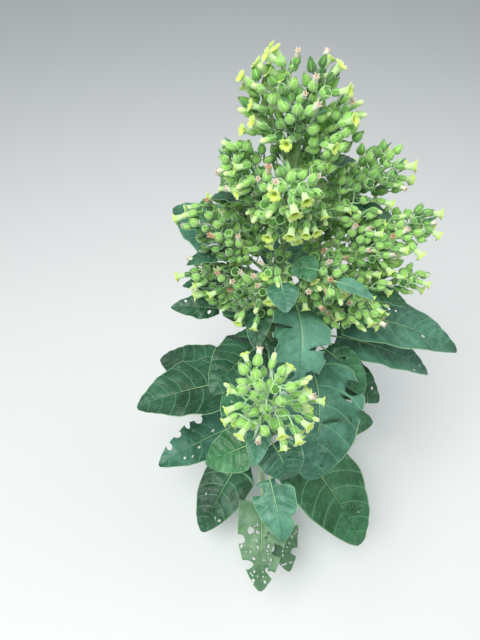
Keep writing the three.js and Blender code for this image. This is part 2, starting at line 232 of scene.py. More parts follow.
# Young leaves in the axils of the main stem's leaves below a height: each one's turn from its leaf, and
# its length.
AXIL_LEAVES = ((-30, 66), (38, 50), (4, 34))
AXIL_TOP = 540
for below in [name for name in LEAVES if LEAVES[name]["on"] == "stem" and LEAVES[name]["height"] < AXIL_TOP]:
    for number, (aside, length) in enumerate(AXIL_LEAVES):
        SMALL_LEAVES[f"axil_{below}_{number}"] = leaf(
            "stem", LEAVES[below]["height"] + 10, LEAVES[below]["bearing"] + aside, 14, length,
            0.52 * length, 56, 54, "green", lobe=0.1, wave=1.5, holes=1, clear=False, fine=False,
        )
BLADE = {
    "thickness": 0.7, "vein_lean": 0.62, "vein_width": 0.011, "arch": 0.07, "veins": 7, "quilt": 0.015,
    "curl": 0.1, "widest": 0.6, "roundness": 0.7, "lobe_ends": 0.36, "waves": 3.1, "buckle": 0.6,
    "buckle_size": 0.022, "edge_wave": 2.2, "farthest": 1.2, "line_steps": 72, "late_droop": 1.25,
}
# A blade's rows, as shares of its midrib: where they start and end, and how many steps part two veins.
ROWS = {
    "first": 0.003, "first_vein": 0.02, "last_vein": 0.97, "last_step": 0.985, "last": 0.992,
    "per_vein": 5, "least_step": 0.0035,
}
# Veins stand half a step further along on one side of the midrib than on the other.
SIDE_SHIFT = {-1: 0.0, 1: 0.5}
MIDRIB = {
    "stem_end": 2.3, "blade_end": 1.7, "tip": 0.5, "proud": 0.75, "sinks_over": 12, "collar": 0.9,
    "collar_reach": 9, "ends": 0.985, "rings": 26, "hollow": 0.2, "taper": 0.8, "small_leaf": 0.55,
    "full_leaf": 400,
}
LIMB = {
    "joint_swell": 0.22, "joint_reach": 6, "uneven": 0.05, "uneven_scale": 0.05, "ribs": 5,
    "rib_depth": 0.05, "twist": 0.01, "stem_sides": 16, "shoot_sides": 12, "bough_sides": 8,
}


# Colours as they would look in even daylight.

def tone(red, green, blue):
    """A colour given as 0 to 255 shares, in the shader's own scale."""
    shares = [value / 255 for value in (red, green, blue)]
    return tuple(s / 12.92 if s <= 0.04045 else ((s + 0.055) / 1.055) ** 2.4 for s in shares) + (1,)


# A leaf's tint is partly its own green and partly painted shade: leaves that stand in the crowd's shade, such
# as those under the boughs, take the deep tint.
LEAF_TINTS = {
    "pale_blue": {"dark": tone(54, 108, 82), "light": tone(106, 162, 138)},
    "blue": {"dark": tone(38, 88, 62), "light": tone(88, 146, 122)},
    "green": {"dark": tone(28, 80, 44), "light": tone(74, 136, 92)},
    "deep": {"dark": tone(24, 64, 38), "light": tone(60, 114, 82)},
    "fresh": {"dark": tone(34, 92, 46), "light": tone(78, 142, 92)},
    "mist": {"dark": tone(46, 100, 74), "light": tone(92, 150, 122)},
    "dull": {"dark": tone(72, 116, 80), "light": tone(124, 160, 118)},
}
VEIN_COLOUR = tone(122, 168, 124)
RIM_COLOUR = tone(158, 196, 148)
UNDERSIDE = {"dark": tone(96, 140, 112), "light": tone(126, 166, 138)}
VEIN_TINT = {"dark": tone(90, 142, 102), "light": tone(112, 164, 120)}
RIB_TINT = {"dark": tone(142, 184, 124), "light": tone(170, 206, 148)}
STEM_COLOURS = {"dark": tone(78, 116, 62), "light": tone(132, 170, 104), "down": tone(190, 214, 168)}
FLECK_COLOUR = tone(120, 112, 70)
GRAIN_COLOUR = tone(190, 208, 190)
# How strongly each trait of a blade shows in its colour, with hollow the painted shade in its grooves, and
# how deep its relief is.
LEAF_LOOK = {
    "net": 0.14, "border": 0.22, "hollow": 0.4, "rim": 0.75, "flecks": 0.35, "grains": 0.45,
    "mottle_scale": 15.0, "net_scale": 95, "blister_scale": 62, "mottle_relief": 0.22,
    "net_relief": 0.16, "bump": 0.8, "bump_depth": 0.0020,
}
STEM_LOOK = {
    "streak_scale": 900, "mottle_scale": 60.0, "mottle": 0.35, "down": 0.6, "bump": 0.5,
    "bump_depth": 0.0005,
}
DUST_LOOK = {"grain_scale": 620, "fleck_scale": 130}


# Shader groups, each built once and placed in the materials with its own values.

SOCKETS = {
    "value": "NodeSocketFloat", "whole": "NodeSocketInt", "vector": "NodeSocketVector",
    "shape": "NodeSocketGeometry", "object": "NodeSocketObject", "skin": "NodeSocketMaterial",
}


def new_group(kind, name, inputs, outputs):
    """An empty node group with named, typed sockets: the ways to wire it, what it is given, its result."""
    group = bpy.data.node_groups.new(name, kind)
    for in_out, sockets in (("INPUT", inputs), ("OUTPUT", outputs)):
        for label, socket in sockets.items():
            group.interface.new_socket(label, in_out=in_out, socket_type=SOCKETS[socket])
    given, result = group.nodes.new("NodeGroupInput"), group.nodes.new("NodeGroupOutput")
    return Wiring(group), given.outputs, result.inputs


class Wiring:
    """Short ways to add nodes to one node tree."""

    def __init__(self, tree):
        self.tree = tree

    def feed(self, socket, source):
        """Links a socket to another, or sets its value."""
        if isinstance(source, bpy.types.NodeSocket):
            self.tree.links.new(source, socket)
        else:
            socket.default_value = source

    def node(self, kind, feeds=None, **settings):
        """A node with its settings, and with its inputs fed by name or number."""
        made = self.tree.nodes.new(kind)
        for key, value in settings.items():
            setattr(made, key, value)
        for label, source in (feeds or {}).items():
            self.feed(made.inputs[label], source)
        return made

    def math(self, operation, *sources):
        return self.node("ShaderNodeMath", dict(enumerate(sources)), operation=operation).outputs[0]

    def plus(self, first, second):
        return self.math("ADD", first, second)

    def minus(self, first, second):
        return self.math("SUBTRACT", first, second)

    def times(self, first, second):
        return self.math("MULTIPLY", first, second)

    def ramp(self, value, low, high, to_low=0.0, to_high=1.0):
        feeds = {"Value": value, "From Min": low, "From Max": high, "To Min": to_low, "To Max": to_high}
        return self.node("ShaderNodeMapRange", feeds, interpolation_type="SMOOTHSTEP").outputs[0]

    def mix(self, share, first, second):
        return self.node("ShaderNodeMix", {0: share, 6: first, 7: second}, data_type="RGBA").outputs[2]

    def noise(self, vector, scale, detail, rough):
        feeds = {"Vector": vector, "Scale": scale, "Detail": detail, "Roughness": rough}
        return self.node("ShaderNodeTexNoise", feeds).outputs["Fac"]

    def cells(self, vector, scale, feature):
        feeds = {"Vector": vector, "Scale": scale}
        return self.node("ShaderNodeTexVoronoi", feeds, feature=feature).outputs["Distance"]

    def bump(self, height, strength, depth):
        feeds = {"Height": height, "Strength": strength, "Distance": depth}
        return self.node("ShaderNodeBump", feeds).outputs["Normal"]

    def group(self, group, **feeds):
        """What a node group gives, in a node of its own."""
        return self.node("ShaderNodeGroup", feeds, node_tree=group).outputs

    def own(self, name, kind):
        """A value that each point or face has of its own."""
        feeds = {"Name": name}
        return self.node("GeometryNodeInputNamedAttribute", feeds, data_type=kind).outputs["Attribute"]

    def spread(self, points, model, rotation, scale):
        """A copy of a model on every point, as real geometry."""
        feeds = {"Points": points, "Instance": model, "Rotation": rotation, "Scale": scale}
        copies = self.node("GeometryNodeInstanceOnPoints", feeds).outputs[0]
        return self.node("GeometryNodeRealizeInstances", {0: copies}).outputs[0]

    def painted(self, shape, skin, where=True):
        feeds = {"Geometry": shape, "Selection": where, "Material": skin}
        return self.node("GeometryNodeSetMaterial", feeds).outputs[0]


def mottle_group():
    """Slow and fine changes of tone over a surface, as a share from 0 to 1."""
    sockets = {"Place": "vector", "Scale": "value"}
    wire, given, result = new_group("ShaderNodeTree", "mottle", sockets, {"Share": "value"})
    slow = wire.noise(given["Place"], given["Scale"], 2.0, 0.5)
    fine = wire.noise(given["Place"], wire.times(given["Scale"], 7.0), 3.0, 0.65)
    both = wire.plus(wire.times(slow, 0.65), wire.times(fine, 0.35))
    wire.feed(result["Share"], wire.ramp(both, 0.34, 0.66))
    return wire.tree


def vein_group():
    """Side veins, their pale borders and the net between them, from a leaf's own map.
    The map runs along the midrib in U, and in V from one margin (0) by the midrib (0.5) to the other."""
    masks = ("Vein", "Border", "Net", "Rim", "Blister")
    sockets = {"Map": "vector", "Place": "vector", "Veins": "value"}
    wire, given, result = new_group("ShaderNodeTree", "leaf_veins", sockets, dict.fromkeys(masks, "value"))
    along, across = wire.node("ShaderNodeSeparateXYZ", {0: given["Map"]}).outputs[:2]
    from_midrib = wire.times(wire.math("ABSOLUTE", wire.minus(across, 0.5)), 2.0)
    shift = wire.times(wire.math("GREATER_THAN", across, 0.5), 0.5)
    phase = wire.plus(wire.times(along, given["Veins"]), shift)
    spread = wire.math("ABSOLUTE", wire.minus(wire.math("FRACT", phase), 0.5))
    thin = wire.times(wire.minus(1.15, from_midrib), 0.025)
    wire.feed(result["Vein"], wire.ramp(spread, 0.0, thin, 1.0, 0.0))
    near_vein = wire.ramp(spread, 0.0, 0.2, 1.0, 0.0)
    near_midrib = wire.ramp(from_midrib, 0.0, 0.16, 1.0, 0.0)
    wire.feed(result["Border"], wire.math("MAXIMUM", near_vein, near_midrib))
    net = wire.cells(given["Place"], LEAF_LOOK["net_scale"], "DISTANCE_TO_EDGE")
    wire.feed(result["Net"], wire.ramp(net, 0.0, 0.09, 1.0, 0.0))
    blisters = wire.cells(given["Place"], LEAF_LOOK["blister_scale"], "SMOOTH_F1")
    wire.feed(result["Blister"], wire.ramp(blisters, 0.1, 0.75, 1.0, 0.0))
    wire.feed(result["Rim"], wire.ramp(from_midrib, 0.972, 0.988))
    return wire.tree


def dust_group():
    """Pale grains and small dead flecks, as two masks."""
    masks = {"Grains": "value", "Flecks": "value"}
    wire, given, result = new_group("ShaderNodeTree", "dust", {"Place": "vector"}, masks)
    grains = wire.noise(given["Place"], DUST_LOOK["grain_scale"], 1.0, 0.4)
    flecks = wire.noise(given["Place"], DUST_LOOK["fleck_scale"], 2.0, 0.5)
    wire.feed(result["Grains"], wire.ramp(grains, 0.70, 0.78))
    wire.feed(result["Flecks"], wire.ramp(flecks, 0.70, 0.76))
    return wire.tree


MOTTLE = mottle_group()
VEINS = vein_group()
DUST = dust_group()


def new_material(name, roughness, sheen, specular):
    """A material with its shader, ready for its colours, and the ways to wire them."""
    material = bpy.data.materials.new(name)
    material.use_nodes = True
    shader = material.node_tree.nodes["Principled BSDF"]
    shader.inputs["Roughness"].default_value = roughness
    shader.inputs["Sheen Weight"].default_value = sheen
    shader.inputs["Sheen Roughness"].default_value = 0.5
    shader.inputs["Specular IOR Level"].default_value = specular
    return material, shader, Wiring(material.node_tree)


def leaf_material(name, tint, vein_share, roughness):
    """A dull, dusty blade: two greens in patches, pale veins and rim, a fine net, a bloom of dust and painted
    shade in its grooves.
    """
    material, shader, wire = new_material(name, roughness, sheen=0.05, specular=0.4)
    place = wire.node("ShaderNodeTexCoord").outputs["Object"]
    own_map = wire.node("ShaderNodeUVMap", uv_map="Leaf").outputs["UV"]
    mottle = wire.group(MOTTLE, Place=place, Scale=LEAF_LOOK["mottle_scale"])["Share"]
    veins = wire.group(VEINS, Map=own_map, Place=place, Veins=float(BLADE["veins"]))
    dust = wire.group(DUST, Place=place)
    # Painted shade: the grooves between the blisters are darkened towards the blade's dark green.
    hollow = wire.minus(1.0, veins["Blister"])
    colour = wire.mix(mottle, tint["dark"], tint["light"])
    for mask, strength, over in (
        (veins["Net"], LEAF_LOOK["net"], VEIN_COLOUR),
        (veins["Border"], LEAF_LOOK["border"], tint["light"]),
        (hollow, LEAF_LOOK["hollow"], tint["dark"]),
        (veins["Vein"], vein_share, VEIN_COLOUR),
        (veins["Rim"], LEAF_LOOK["rim"], RIM_COLOUR),
        (dust["Flecks"], LEAF_LOOK["flecks"], FLECK_COLOUR),
        (dust["Grains"], LEAF_LOOK["grains"], GRAIN_COLOUR),
    ):
        colour = wire.mix(wire.times(mask, strength), colour, over)
    wire.feed(shader.inputs["Base Color"], colour)
    net_relief = wire.times(veins["Net"], LEAF_LOOK["net_relief"])
    fine = wire.minus(wire.times(mottle, LEAF_LOOK["mottle_relief"]), net_relief)
    relief = wire.plus(fine, veins["Blister"])
    wire.feed(shader.inputs["Normal"], wire.bump(relief, LEAF_LOOK["bump"], LEAF_LOOK["bump_depth"]))
    return material


def stem_material(name, dark, light, streak):
    """Green, ribbed and downy stem skin with lengthwise streaks."""
    material, shader, wire = new_material(name, 0.6, sheen=0.35, specular=0.35)
    place = wire.node("ShaderNodeTexCoord").outputs["Object"]
    stretch = wire.node("ShaderNodeMapping", {"Vector": place, "Scale": (1, 1, streak)}).outputs[0]
    streaks = wire.noise(stretch, STEM_LOOK["streak_scale"], 2.0, 0.55)
    mottle = wire.group(MOTTLE, Place=place, Scale=STEM_LOOK["mottle_scale"])["Share"]
    grains = wire.group(DUST, Place=place)["Grains"]
    colour = wire.mix(wire.ramp(streaks, 0.38, 0.62), dark, light)
    colour = wire.mix(wire.times(mottle, STEM_LOOK["mottle"]), colour, light)
    colour = wire.mix(wire.times(grains, STEM_LOOK["down"]), colour, STEM_COLOURS["down"])
    wire.feed(shader.inputs["Base Color"], colour)
    wire.feed(shader.inputs["Normal"], wire.bump(streaks, STEM_LOOK["bump"], STEM_LOOK["bump_depth"]))
    return material


def plain_material(name, colour, roughness=0.66, sheen=0.7):
    """One even colour, for the small things that are dealt out by spray."""
    material, shader, _ = new_material(name, roughness, sheen, specular=0.3)
    shader.inputs["Base Color"].default_value = colour
    return material


# Meshes.

class Shape:
    """Collects points, faces, each face's slot and each point's map place, and makes them an object."""

    def __init__(self):
        self.points, self.faces, self.slots, self.places = [], [], [], []

    def add(self, points, faces, slot=0, places=None):
        start = len(self.points)
        self.points += [tuple(p) for p in points]
        self.faces += [tuple(i + start for i in face) for face in faces]
        self.slots += slot if isinstance(slot, list) else [slot] * len(faces)
        self.places += places or [(0.0, 0.5)] * len(points)

    def make(self, name, materials, own_map=None):
        mesh = bpy.data.meshes.new(name)
        mesh.from_pydata([[c * MM for c in p] for p in self.points], [], self.faces)
        for material in materials:
            mesh.materials.append(material)
        mesh.polygons.foreach_set("material_index", self.slots)
        mesh.polygons.foreach_set("use_smooth", [True] * len(self.faces))
        if own_map:
            layer = mesh.uv_layers.new(name=own_map)
            corner_points = [self.places[loop.vertex_index] for loop in mesh.loops]
            layer.uv.foreach_set("vector", [c for place in corner_points for c in place])
        mesh.validate()
        return scene_object(name, mesh)


def finish_piece(piece, slot, *nodes):
    """Every piece rides on the plant's one body, and the solids that it stands for are hidden."""
    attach(piece, "root")
    if nodes:
        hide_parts(*nodes)
    return piece


def carried_frames(points):
    """The way along a line at each of its points, with a side and an over direction that never twist."""
    frames = []
    side = None
    for i, point in enumerate(points):
        along = (points[min(i + 1, len(points) - 1)] - points[max(i - 1, 0)]).normalized()
        if side is None:
            side = along.cross(Vector((0.31, 0.95, 0.05))).normalized()
        side = (side - along * side.dot(along)).normalized()
        frames.append((point, along, side, along.cross(side)))
    return frames


def tube(points, radius_at, sides, turn_over=None):
    """A closed tube along a line. radius_at gives its radius at a point's number and an angle round it,
    and turn_over the direction that its over side keeps at each point."""
    rings = []
    for i, (point, along, side, over) in enumerate(carried_frames(points)):
        if turn_over:
            over = (turn_over[i] - along * turn_over[i].dot(along)).normalized()
            side = over.cross(along)
        for k in range(sides):
            angle = 2 * math.pi * k / sides
            radius = radius_at(i, angle)
            rings.append(point + side * (radius * math.cos(angle)) + over * (radius * math.sin(angle)))
    count = len(points)
    faces = [
        (i * sides + k, i * sides + (k + 1) % sides, (i + 1) * sides + (k + 1) % sides, (i + 1) * sides + k)
        for i in range(count - 1)
        for k in range(sides)
    ]
    faces.append(tuple(reversed(range(sides))))
    faces.append(tuple((count - 1) * sides + k for k in range(sides)))
    return rings, faces


# Where the stems run.

def stem_point(height):
    """The main stem's middle at a height."""
    share = height / STEM["length"]
    bend = math.sin(math.pi * min(share, 1))
    return STEM_LEAN * share**2 + STEM_BOW * bend + UP * height


def stem_radius(height):
    """The main stem's taper, with the flare at its foot."""
    share = max(0.0, 1 - height / STEM["length"])
    shaft = STEM["tip"] + (STEM["foot"] - STEM["tip"]) * share ** STEM["taper"]
    return shaft + STEM["flare"] * math.exp(-height / STEM["flare_height"])


def smooth_curve(knots, steps):
    """A centripetal Catmull-Rom curve through the knots."""
    knots = [Vector(k) for k in knots]
    ends = [2 * knots[0] - knots[1]] + knots + [2 * knots[-1] - knots[-2]]
    points = []
    for i in range(len(knots) - 1):
        p0, p1, p2, p3 = ends[i : i + 4]
        d0, d1, d2 = (p1 - p0).length ** 0.5, (p2 - p1).length ** 0.5, (p3 - p2).length ** 0.5
        t1 = ((p1 - p0) / d0 - (p2 - p0) / (d0 + d1) + (p2 - p1) / d1) * d1
        t2 = ((p2 - p1) / d1 - (p3 - p1) / (d1 + d2) + (p3 - p2) / d2) * d1
        for step in range(steps):
            w = step / steps
            points.append(
                p1 + t1 * w + (3 * (p2 - p1) - 2 * t1 - t2) * w**2 + (2 * (p1 - p2) + t1 + t2) * w**3
            )
    return points + [knots[-1]]


SHOOT_LINE = smooth_curve(SHOOT_KNOTS, 40)


def shoot_point(height):
    """The side shoot's middle at a height."""
    for low, high in zip(SHOOT_LINE, SHOOT_LINE[1:]):
        if high.z >= height:
            return low.lerp(high, (height - low.z) / (high.z - low.z))
    return SHOOT_LINE[-1].copy()


def bough_line(name):
    """A bough's middle line, from the stem's middle to the tip of its flower mass."""
    start_height, bearing, reach, top = BOUGHS[name]
    steps = BOUGH_STEPS["all"]
    start = stem_point(start_height)
    out = Vector((math.cos(math.radians(bearing)), math.sin(math.radians(bearing)), 0))
    tip = stem_point(top) + out * reach
    middle = start.lerp(tip, BOUGH["spring"]) - UP * (BOUGH["spring"] * BOUGH["sag"] * reach)
    return [
        start * (1 - t) ** 2 + middle * (2 * t * (1 - t)) + tip * t**2
        for t in (i / steps for i in range(steps + 1))
    ]


# Leaves.

def leaf_foot(spec):
    """Where a leaf grows: on the stem, on the side shoot, or part of the way along a bough."""
    if spec["on"] == "stem":
        return stem_point(spec["height"])
    if spec["on"] == "shoot":
        return shoot_point(spec["height"])
    name, share = spec["on"]
    line = bough_line(name)
    return line[round(share * (len(line) - 1))].copy()


def leaf_line(spec):
    """The arc of a leaf's midrib: its place, side and up directions at a length from the leaf's foot."""
    steps = BLADE["line_steps"]
    total = spec["stalk"] + spec["length"]
    point = leaf_foot(spec)
    knots = []
    for i in range(steps + 1):
        share = i / steps
        rise = math.radians(spec["rise"] - spec["droop"] * share ** BLADE["late_droop"])
        bearing = math.radians(spec["bearing"] + spec["sway"] * share)
        ahead = Vector(
            (math.cos(rise) * math.cos(bearing), math.cos(rise) * math.sin(bearing), math.sin(rise))
        )
        side = Vector((-math.sin(bearing), math.cos(bearing), 0))
        knots.append((point.copy(), side, ahead.cross(side)))
        point += ahead * (total / steps)

    def at(along):
        place = min(max(along / total * steps, 0), steps - 1e-6)
        before, after = knots[int(place)], knots[int(place) + 1]
        mixed = [a.lerp(b, place - int(place)) for a, b in zip(before, after)]
        return mixed[0], mixed[1].normalized(), mixed[2].normalized()

    return at


def margin(spec, place):
    """A blade's margin at a share of the way from its stalk to its tip: how far along and how far across."""
    swell = math.sin(math.pi * min(place, 1.0) ** BLADE["widest"])
    behind = spec["lobe"] * math.sin(math.pi * min(1.0, place / BLADE["lobe_ends"]))
    return spec["length"] * (place - behind), spec["width"] / 2 * max(swell, 0.0) ** BLADE["roundness"]


def blade_point(spec, line, sign, along, across, lift):
    """The place in space of a point of the flat blade, raised by a lift."""
    centre, side, up = line(spec["stalk"] + along)
    roll, fold = math.radians(spec["roll"]), math.radians(spec["fold"])
    over = side * math.cos(roll) + up * math.sin(roll)
    raised = up * math.cos(roll) - side * math.sin(roll)
    return centre + over * (sign * across * math.cos(fold)) + raised * (across * math.sin(fold) + lift)


def blade_lift(spec, along, across, sign, phase):
    """How far the blade leaves its folded plane: curled margins, waves, buckles and quilting."""
    half = spec["width"] / 2
    out = min(across / half, BLADE["farthest"])
    curl = -BLADE["curl"] * half * out**2
    turns = 2 * math.pi * (along / spec["length"] * BLADE["waves"] + 0.13 * spec["height"] + 0.4 * sign)
    wave = spec["wave"] * out ** BLADE["edge_wave"] * math.sin(turns)
    swell = BLADE["quilt"] * spec["width"] * math.sin(math.pi * phase) ** 2
    quilt = swell * min(1, 5 * out) * (1 - 0.5 * out)
    size = BLADE["buckle_size"]
    spot = Vector((along * size, sign * across * size, spec["height"] * 0.31))
    buckle = noise.noise(spot) * BLADE["buckle"] * spec["wave"] * min(1, 2.5 * out)
    return curl + wave + quilt + buckle


def vein_rows(sign):
    """Shares of the midrib where the rows of one side of a blade start, with two at each vein."""
    count = BLADE["veins"]
    rows = [ROWS["first"]]
    for number in range(count + 1):
        middle = (number + 0.5 - SIDE_SHIFT[sign]) / count
        if not ROWS["first_vein"] < middle < ROWS["last_vein"]:
            continue
        narrow = BLADE["vein_width"] / (1 + 1.6 * middle)
        rows += [middle - narrow / 2, middle + narrow / 2]
        step = 1 / count / ROWS["per_vein"]
        rows += [middle + step * k for k in range(1, ROWS["per_vein"])]
    rows = sorted(row for row in rows if row < ROWS["last_step"]) + [ROWS["last"]]
    cleaned = [rows[0]]
    for row in rows[1:]:
        if row - cleaned[-1] > ROWS["least_step"]:
            cleaned.append(row)
    return cleaned


def on_vein(start, end, sign):
    """True if the strip between two rows is a vein."""
    middle = ((start + end) / 2 * BLADE["veins"] + SIDE_SHIFT[sign]) % 1
    return abs(middle - 0.5) < 0.03


BITE = {"corners": 14, "ragged": 0.22, "reach": 14}
# The least and the greatest of what is drawn for a hole, in the order of a bite's numbers.
HOLE = ((0.12, 0.9), (0.15, 0.92), (0.7, 2.6), (0.7, 2.2), (0, 180))
HOLE_CHANCE = 0.5
# The columns of faces from the midrib to the margin, and those of the smallest leaves.
COLUMNS = (0, 0.1, 0.2, 0.31, 0.42, 0.53, 0.64, 0.75, 0.85, 0.93, 0.98, 1.0)
FEW_COLUMNS = (0, 0.2, 0.45, 0.7, 0.92, 1.0)


def half_blade(spec, line, sign):
    """One side of a blade as a closed thin solid whose rows follow its veins."""
    rows = vein_rows(sign)
    columns = COLUMNS if spec["fine"] else FEW_COLUMNS
    layers, places = ([], []), []
    for row in rows:
        edge_along, edge_across = margin(spec, row ** BLADE["vein_lean"])
        middle = spec["length"] * row
        arch = BLADE["arch"] * spec["length"] * min(1, row / 0.15)
        phase = (row * BLADE["veins"] + SIDE_SHIFT[sign] - 0.5) % 1
        for column in columns:
            along = middle + (edge_along - middle) * column - arch * 4 * column * (1 - column) * (1 - row)
            across = edge_across * column
            lift = blade_lift(spec, along, across, sign, phase)
            for layer, offset in zip(layers, (0.5, -0.5)):
                raised = lift + offset * BLADE["thickness"]
                layer.append(blade_point(spec, line, sign, along, across, raised))
            places.append((row, 0.5 + sign * column / 2))
    wide, count = len(columns), len(rows)
    faces, slots = [], []
    for i in range(count - 1):
        slot = 2 if on_vein(rows[i], rows[i + 1], sign) else 0
        for k in range(wide - 1):
            quad = (i * wide + k, (i + 1) * wide + k, (i + 1) * wide + k + 1, i * wide + k + 1)
            faces.append(quad if sign < 0 else quad[::-1])
            faces.append(tuple(n + count * wide for n in (quad[::-1] if sign < 0 else quad)))
            slots += [slot, 1 if slot == 0 else 2]
    border = list(range(wide))
    border += [i * wide + wide - 1 for i in range(1, count)]
    border += [(count - 1) * wide + k for k in range(wide - 2, -1, -1)]
    border += [i * wide for i in range(count - 2, 0, -1)]
    for here, there in zip(border, border[1:] + border[:1]):
        rim = (here, there, there + count * wide, here + count * wide)
        faces.append(rim if sign < 0 else rim[::-1])
        slots.append(2)
    return layers[0] + layers[1], faces, slots, places * 2


def bite_prism(spec, line, sign, bite, rng):
    """A wavy-sided plug that cuts one bite or hole out of a blade."""
    place, across_share, radius, stretch, turn = bite
    edge_along, edge_across = margin(spec, min(max(place, 0.05), 0.98))
    centre_along = spec["length"] * place
    centre_across = edge_across * abs(across_share)
    corners = BITE["corners"]
    phases = [rng.uniform(0, 2 * math.pi) for _ in range(3)]
    lean = math.radians(turn)
    rings = ([], [])
    for k in range(corners):
        angle = 2 * math.pi * k / corners
        ragged = sum(math.sin(n * angle + p) / n for n, p in zip((2, 3, 5), phases))
        reach = radius * (1 + BITE["ragged"] * ragged)
        u, v = reach * math.cos(angle), reach * stretch * math.sin(angle)
        along = centre_along + u * math.cos(lean) - v * math.sin(lean)
        across = centre_across + u * math.sin(lean) + v * math.cos(lean)
        for ring, lift in zip(rings, (-BITE["reach"], BITE["reach"])):
            ring.append(blade_point(spec, line, sign, along, across, lift - 0.1 * centre_across))
    points = rings[0] + rings[1]
    faces = [(k, (k + 1) % corners, corners + (k + 1) % corners, corners + k) for k in range(corners)]
    faces += [tuple(reversed(range(corners))), tuple(corners + k for k in range(corners))]
    return points, faces


def cut_away(blade, cutters):
    """Takes each cutter out of a blade in turn."""
    for number, cutter in enumerate(cutters):
        step = blade.modifiers.new(f"cut_{number}", "BOOLEAN")
        step.operation, step.solver, step.object = "DIFFERENCE", "MANIFOLD", cutter
    bpy.context.view_layer.update()
    evaluated = blade.evaluated_get(bpy.context.evaluated_depsgraph_get())
    mesh = bpy.data.meshes.new_from_object(evaluated)
    blade.modifiers.clear()
    blade.data = mesh
    for cutter in cutters:
        bpy.data.objects.remove(cutter)


def outward(made):
    """Recalculates a closed mesh's normals so that its faces point out."""
    work = bmesh.new()
    work.from_mesh(made.data)
    bmesh.ops.recalc_face_normals(work, faces=work.faces)
    work.to_mesh(made.data)
    work.free()


def join(name, objects):
    """Joins mesh objects into one and names it."""
    with bpy.context.temp_override(
        active_object=objects[0], selected_editable_objects=objects, object=objects[0]
    ):
        bpy.ops.object.join()
    objects[0].name = name
    objects[0].data.name = name
    return objects[0]


def make_leaf(name, spec, materials):
    """A whole leaf: two half blades with their bites and holes, and the stalk that runs on as the midrib."""
    rng = random.Random(name)
    line = leaf_line(spec)
    parts = []
    for sign in (-1, 1):
        half = Shape()
        points, faces, slots, places = half_blade(spec, line, sign)
        half.add(points, faces, slots, places)
        made = half.make(f"{name}_half", materials, own_map="Leaf")
        outward(made)
        bites = [b for b in spec["bites"] if (b[1] > 0) == (sign > 0)]
        for _ in range(spec["holes"]):
            place, across, *rest = (rng.uniform(*span) for span in HOLE)
            if rng.random() < HOLE_CHANCE:
                bites.append((place, sign * across, *rest))
        cutters = []
        for bite in bites:
            plug = Shape()
            plug.add(*bite_prism(spec, line, sign, bite, rng))
            cutters.append(plug.make("bite", [materials[2]]))
            outward(cutters[-1])
        if cutters:
            cut_away(made, cutters)
        parts.append(made)
    parts.append(make_midrib(name, spec, line, materials))
    return join(name, parts)


def make_midrib(name, spec, line, materials):
    """The stalk and the midrib as one tapering rib, hollowed above along the stalk."""
    size = min(1.0, MIDRIB["small_leaf"] + spec["length"] / MIDRIB["full_leaf"])
    total = spec["stalk"] + MIDRIB["ends"] * spec["length"]
    count = MIDRIB["rings"]
    points, overs, radii = [], [], []
    for i in range(count):
        along = total * i / (count - 1)
        centre, side, up = line(along)
        if along < spec["stalk"]:
            share = along / spec["stalk"]
            radius = MIDRIB["stem_end"] + (MIDRIB["blade_end"] - MIDRIB["stem_end"]) * share
            radius += MIDRIB["collar"] * math.exp(-along / MIDRIB["collar_reach"])
        else:
            share = (along - spec["stalk"]) / spec["length"]
            thinner = (MIDRIB["tip"] - MIDRIB["blade_end"]) * share ** MIDRIB["taper"]
            radius = MIDRIB["blade_end"] + thinner
        radius *= size
        sunk = min(1.0, max(0.0, (along - spec["stalk"] + MIDRIB["sinks_over"]) / MIDRIB["sinks_over"]))
        sink = sunk * (1 - MIDRIB["proud"]) * radius
        points.append(centre - up * sink)
        overs.append(up)
        radii.append(radius)

    def radius_at(i, angle):
        return radii[i] * (1 - MIDRIB["hollow"] * max(0, math.sin(angle)) ** 4)

    rib = Shape()
    ring, faces = tube(points, radius_at, 8, overs)
    rib.add(ring, faces, 3)
    made = rib.make(f"{name}_rib", materials, own_map="Leaf")
    outward(made)
    return made


# Limbs with their relief.

STEM_SKIN = stem_material("stem_skin", STEM_COLOURS["dark"], STEM_COLOURS["light"], 0.06)


def limb_piece(name, points, radii, sides, joints):
    """A tapering limb with fine ribs, swollen where leaves or twigs join it."""
    heights = [0.0]
    for a, b in zip(points, points[1:]):
        heights.append(heights[-1] + (b - a).length)

    def radius_at(i, angle):
        near = (((heights[i] - joint) / LIMB["joint_reach"]) ** 2 for joint in joints)
        swell = sum(LIMB["joint_swell"] * math.exp(-gap) for gap in near)
        spot = Vector((heights[i] * LIMB["uneven_scale"], math.cos(angle), math.sin(angle)))
        radius = radii[i] * (1 + swell + LIMB["uneven"] * noise.noise(spot))
        return radius * (1 + LIMB["rib_depth"] * math.cos(LIMB["ribs"] * angle + heights[i] * LIMB["twist"]))

    limb = Shape()
    limb.add(*tube(points, radius_at, sides))
    made = limb.make(name, [STEM_SKIN])
    outward(made)
    return made


def make_stems():
    """The main stem and the side shoot."""
    heights = [i * STEM["step"] for i in range(int(STEM["length"] / STEM["step"]) + 2)]
    joints = [spec["height"] for spec in LEAVES.values() if spec["on"] == "stem"]
    joints += [sizes[0] for sizes in BOUGHS.values()]
    line, radii = [stem_point(h) for h in heights], [stem_radius(h) for h in heights]
    stem = limb_piece("stem_main", line, radii, LIMB["stem_sides"], joints)
    for vertex in stem.data.vertices:
        if vertex.co.z < STEM["flat_below"] * MM:
            vertex.co.z = 0
    finish_piece(stem, "stem", "main_stem")
    last = len(SHOOT_LINE) - 1
    radii = [SHOOT["foot"] + (SHOOT["tip"] - SHOOT["foot"]) * i / last for i in range(last + 1)]
    side = limb_piece("stem_side", SHOOT_LINE, radii, LIMB["shoot_sides"], SHOOT["joints"])
    finish_piece(side, "stem", "side_shoot")
    return [stem, side]


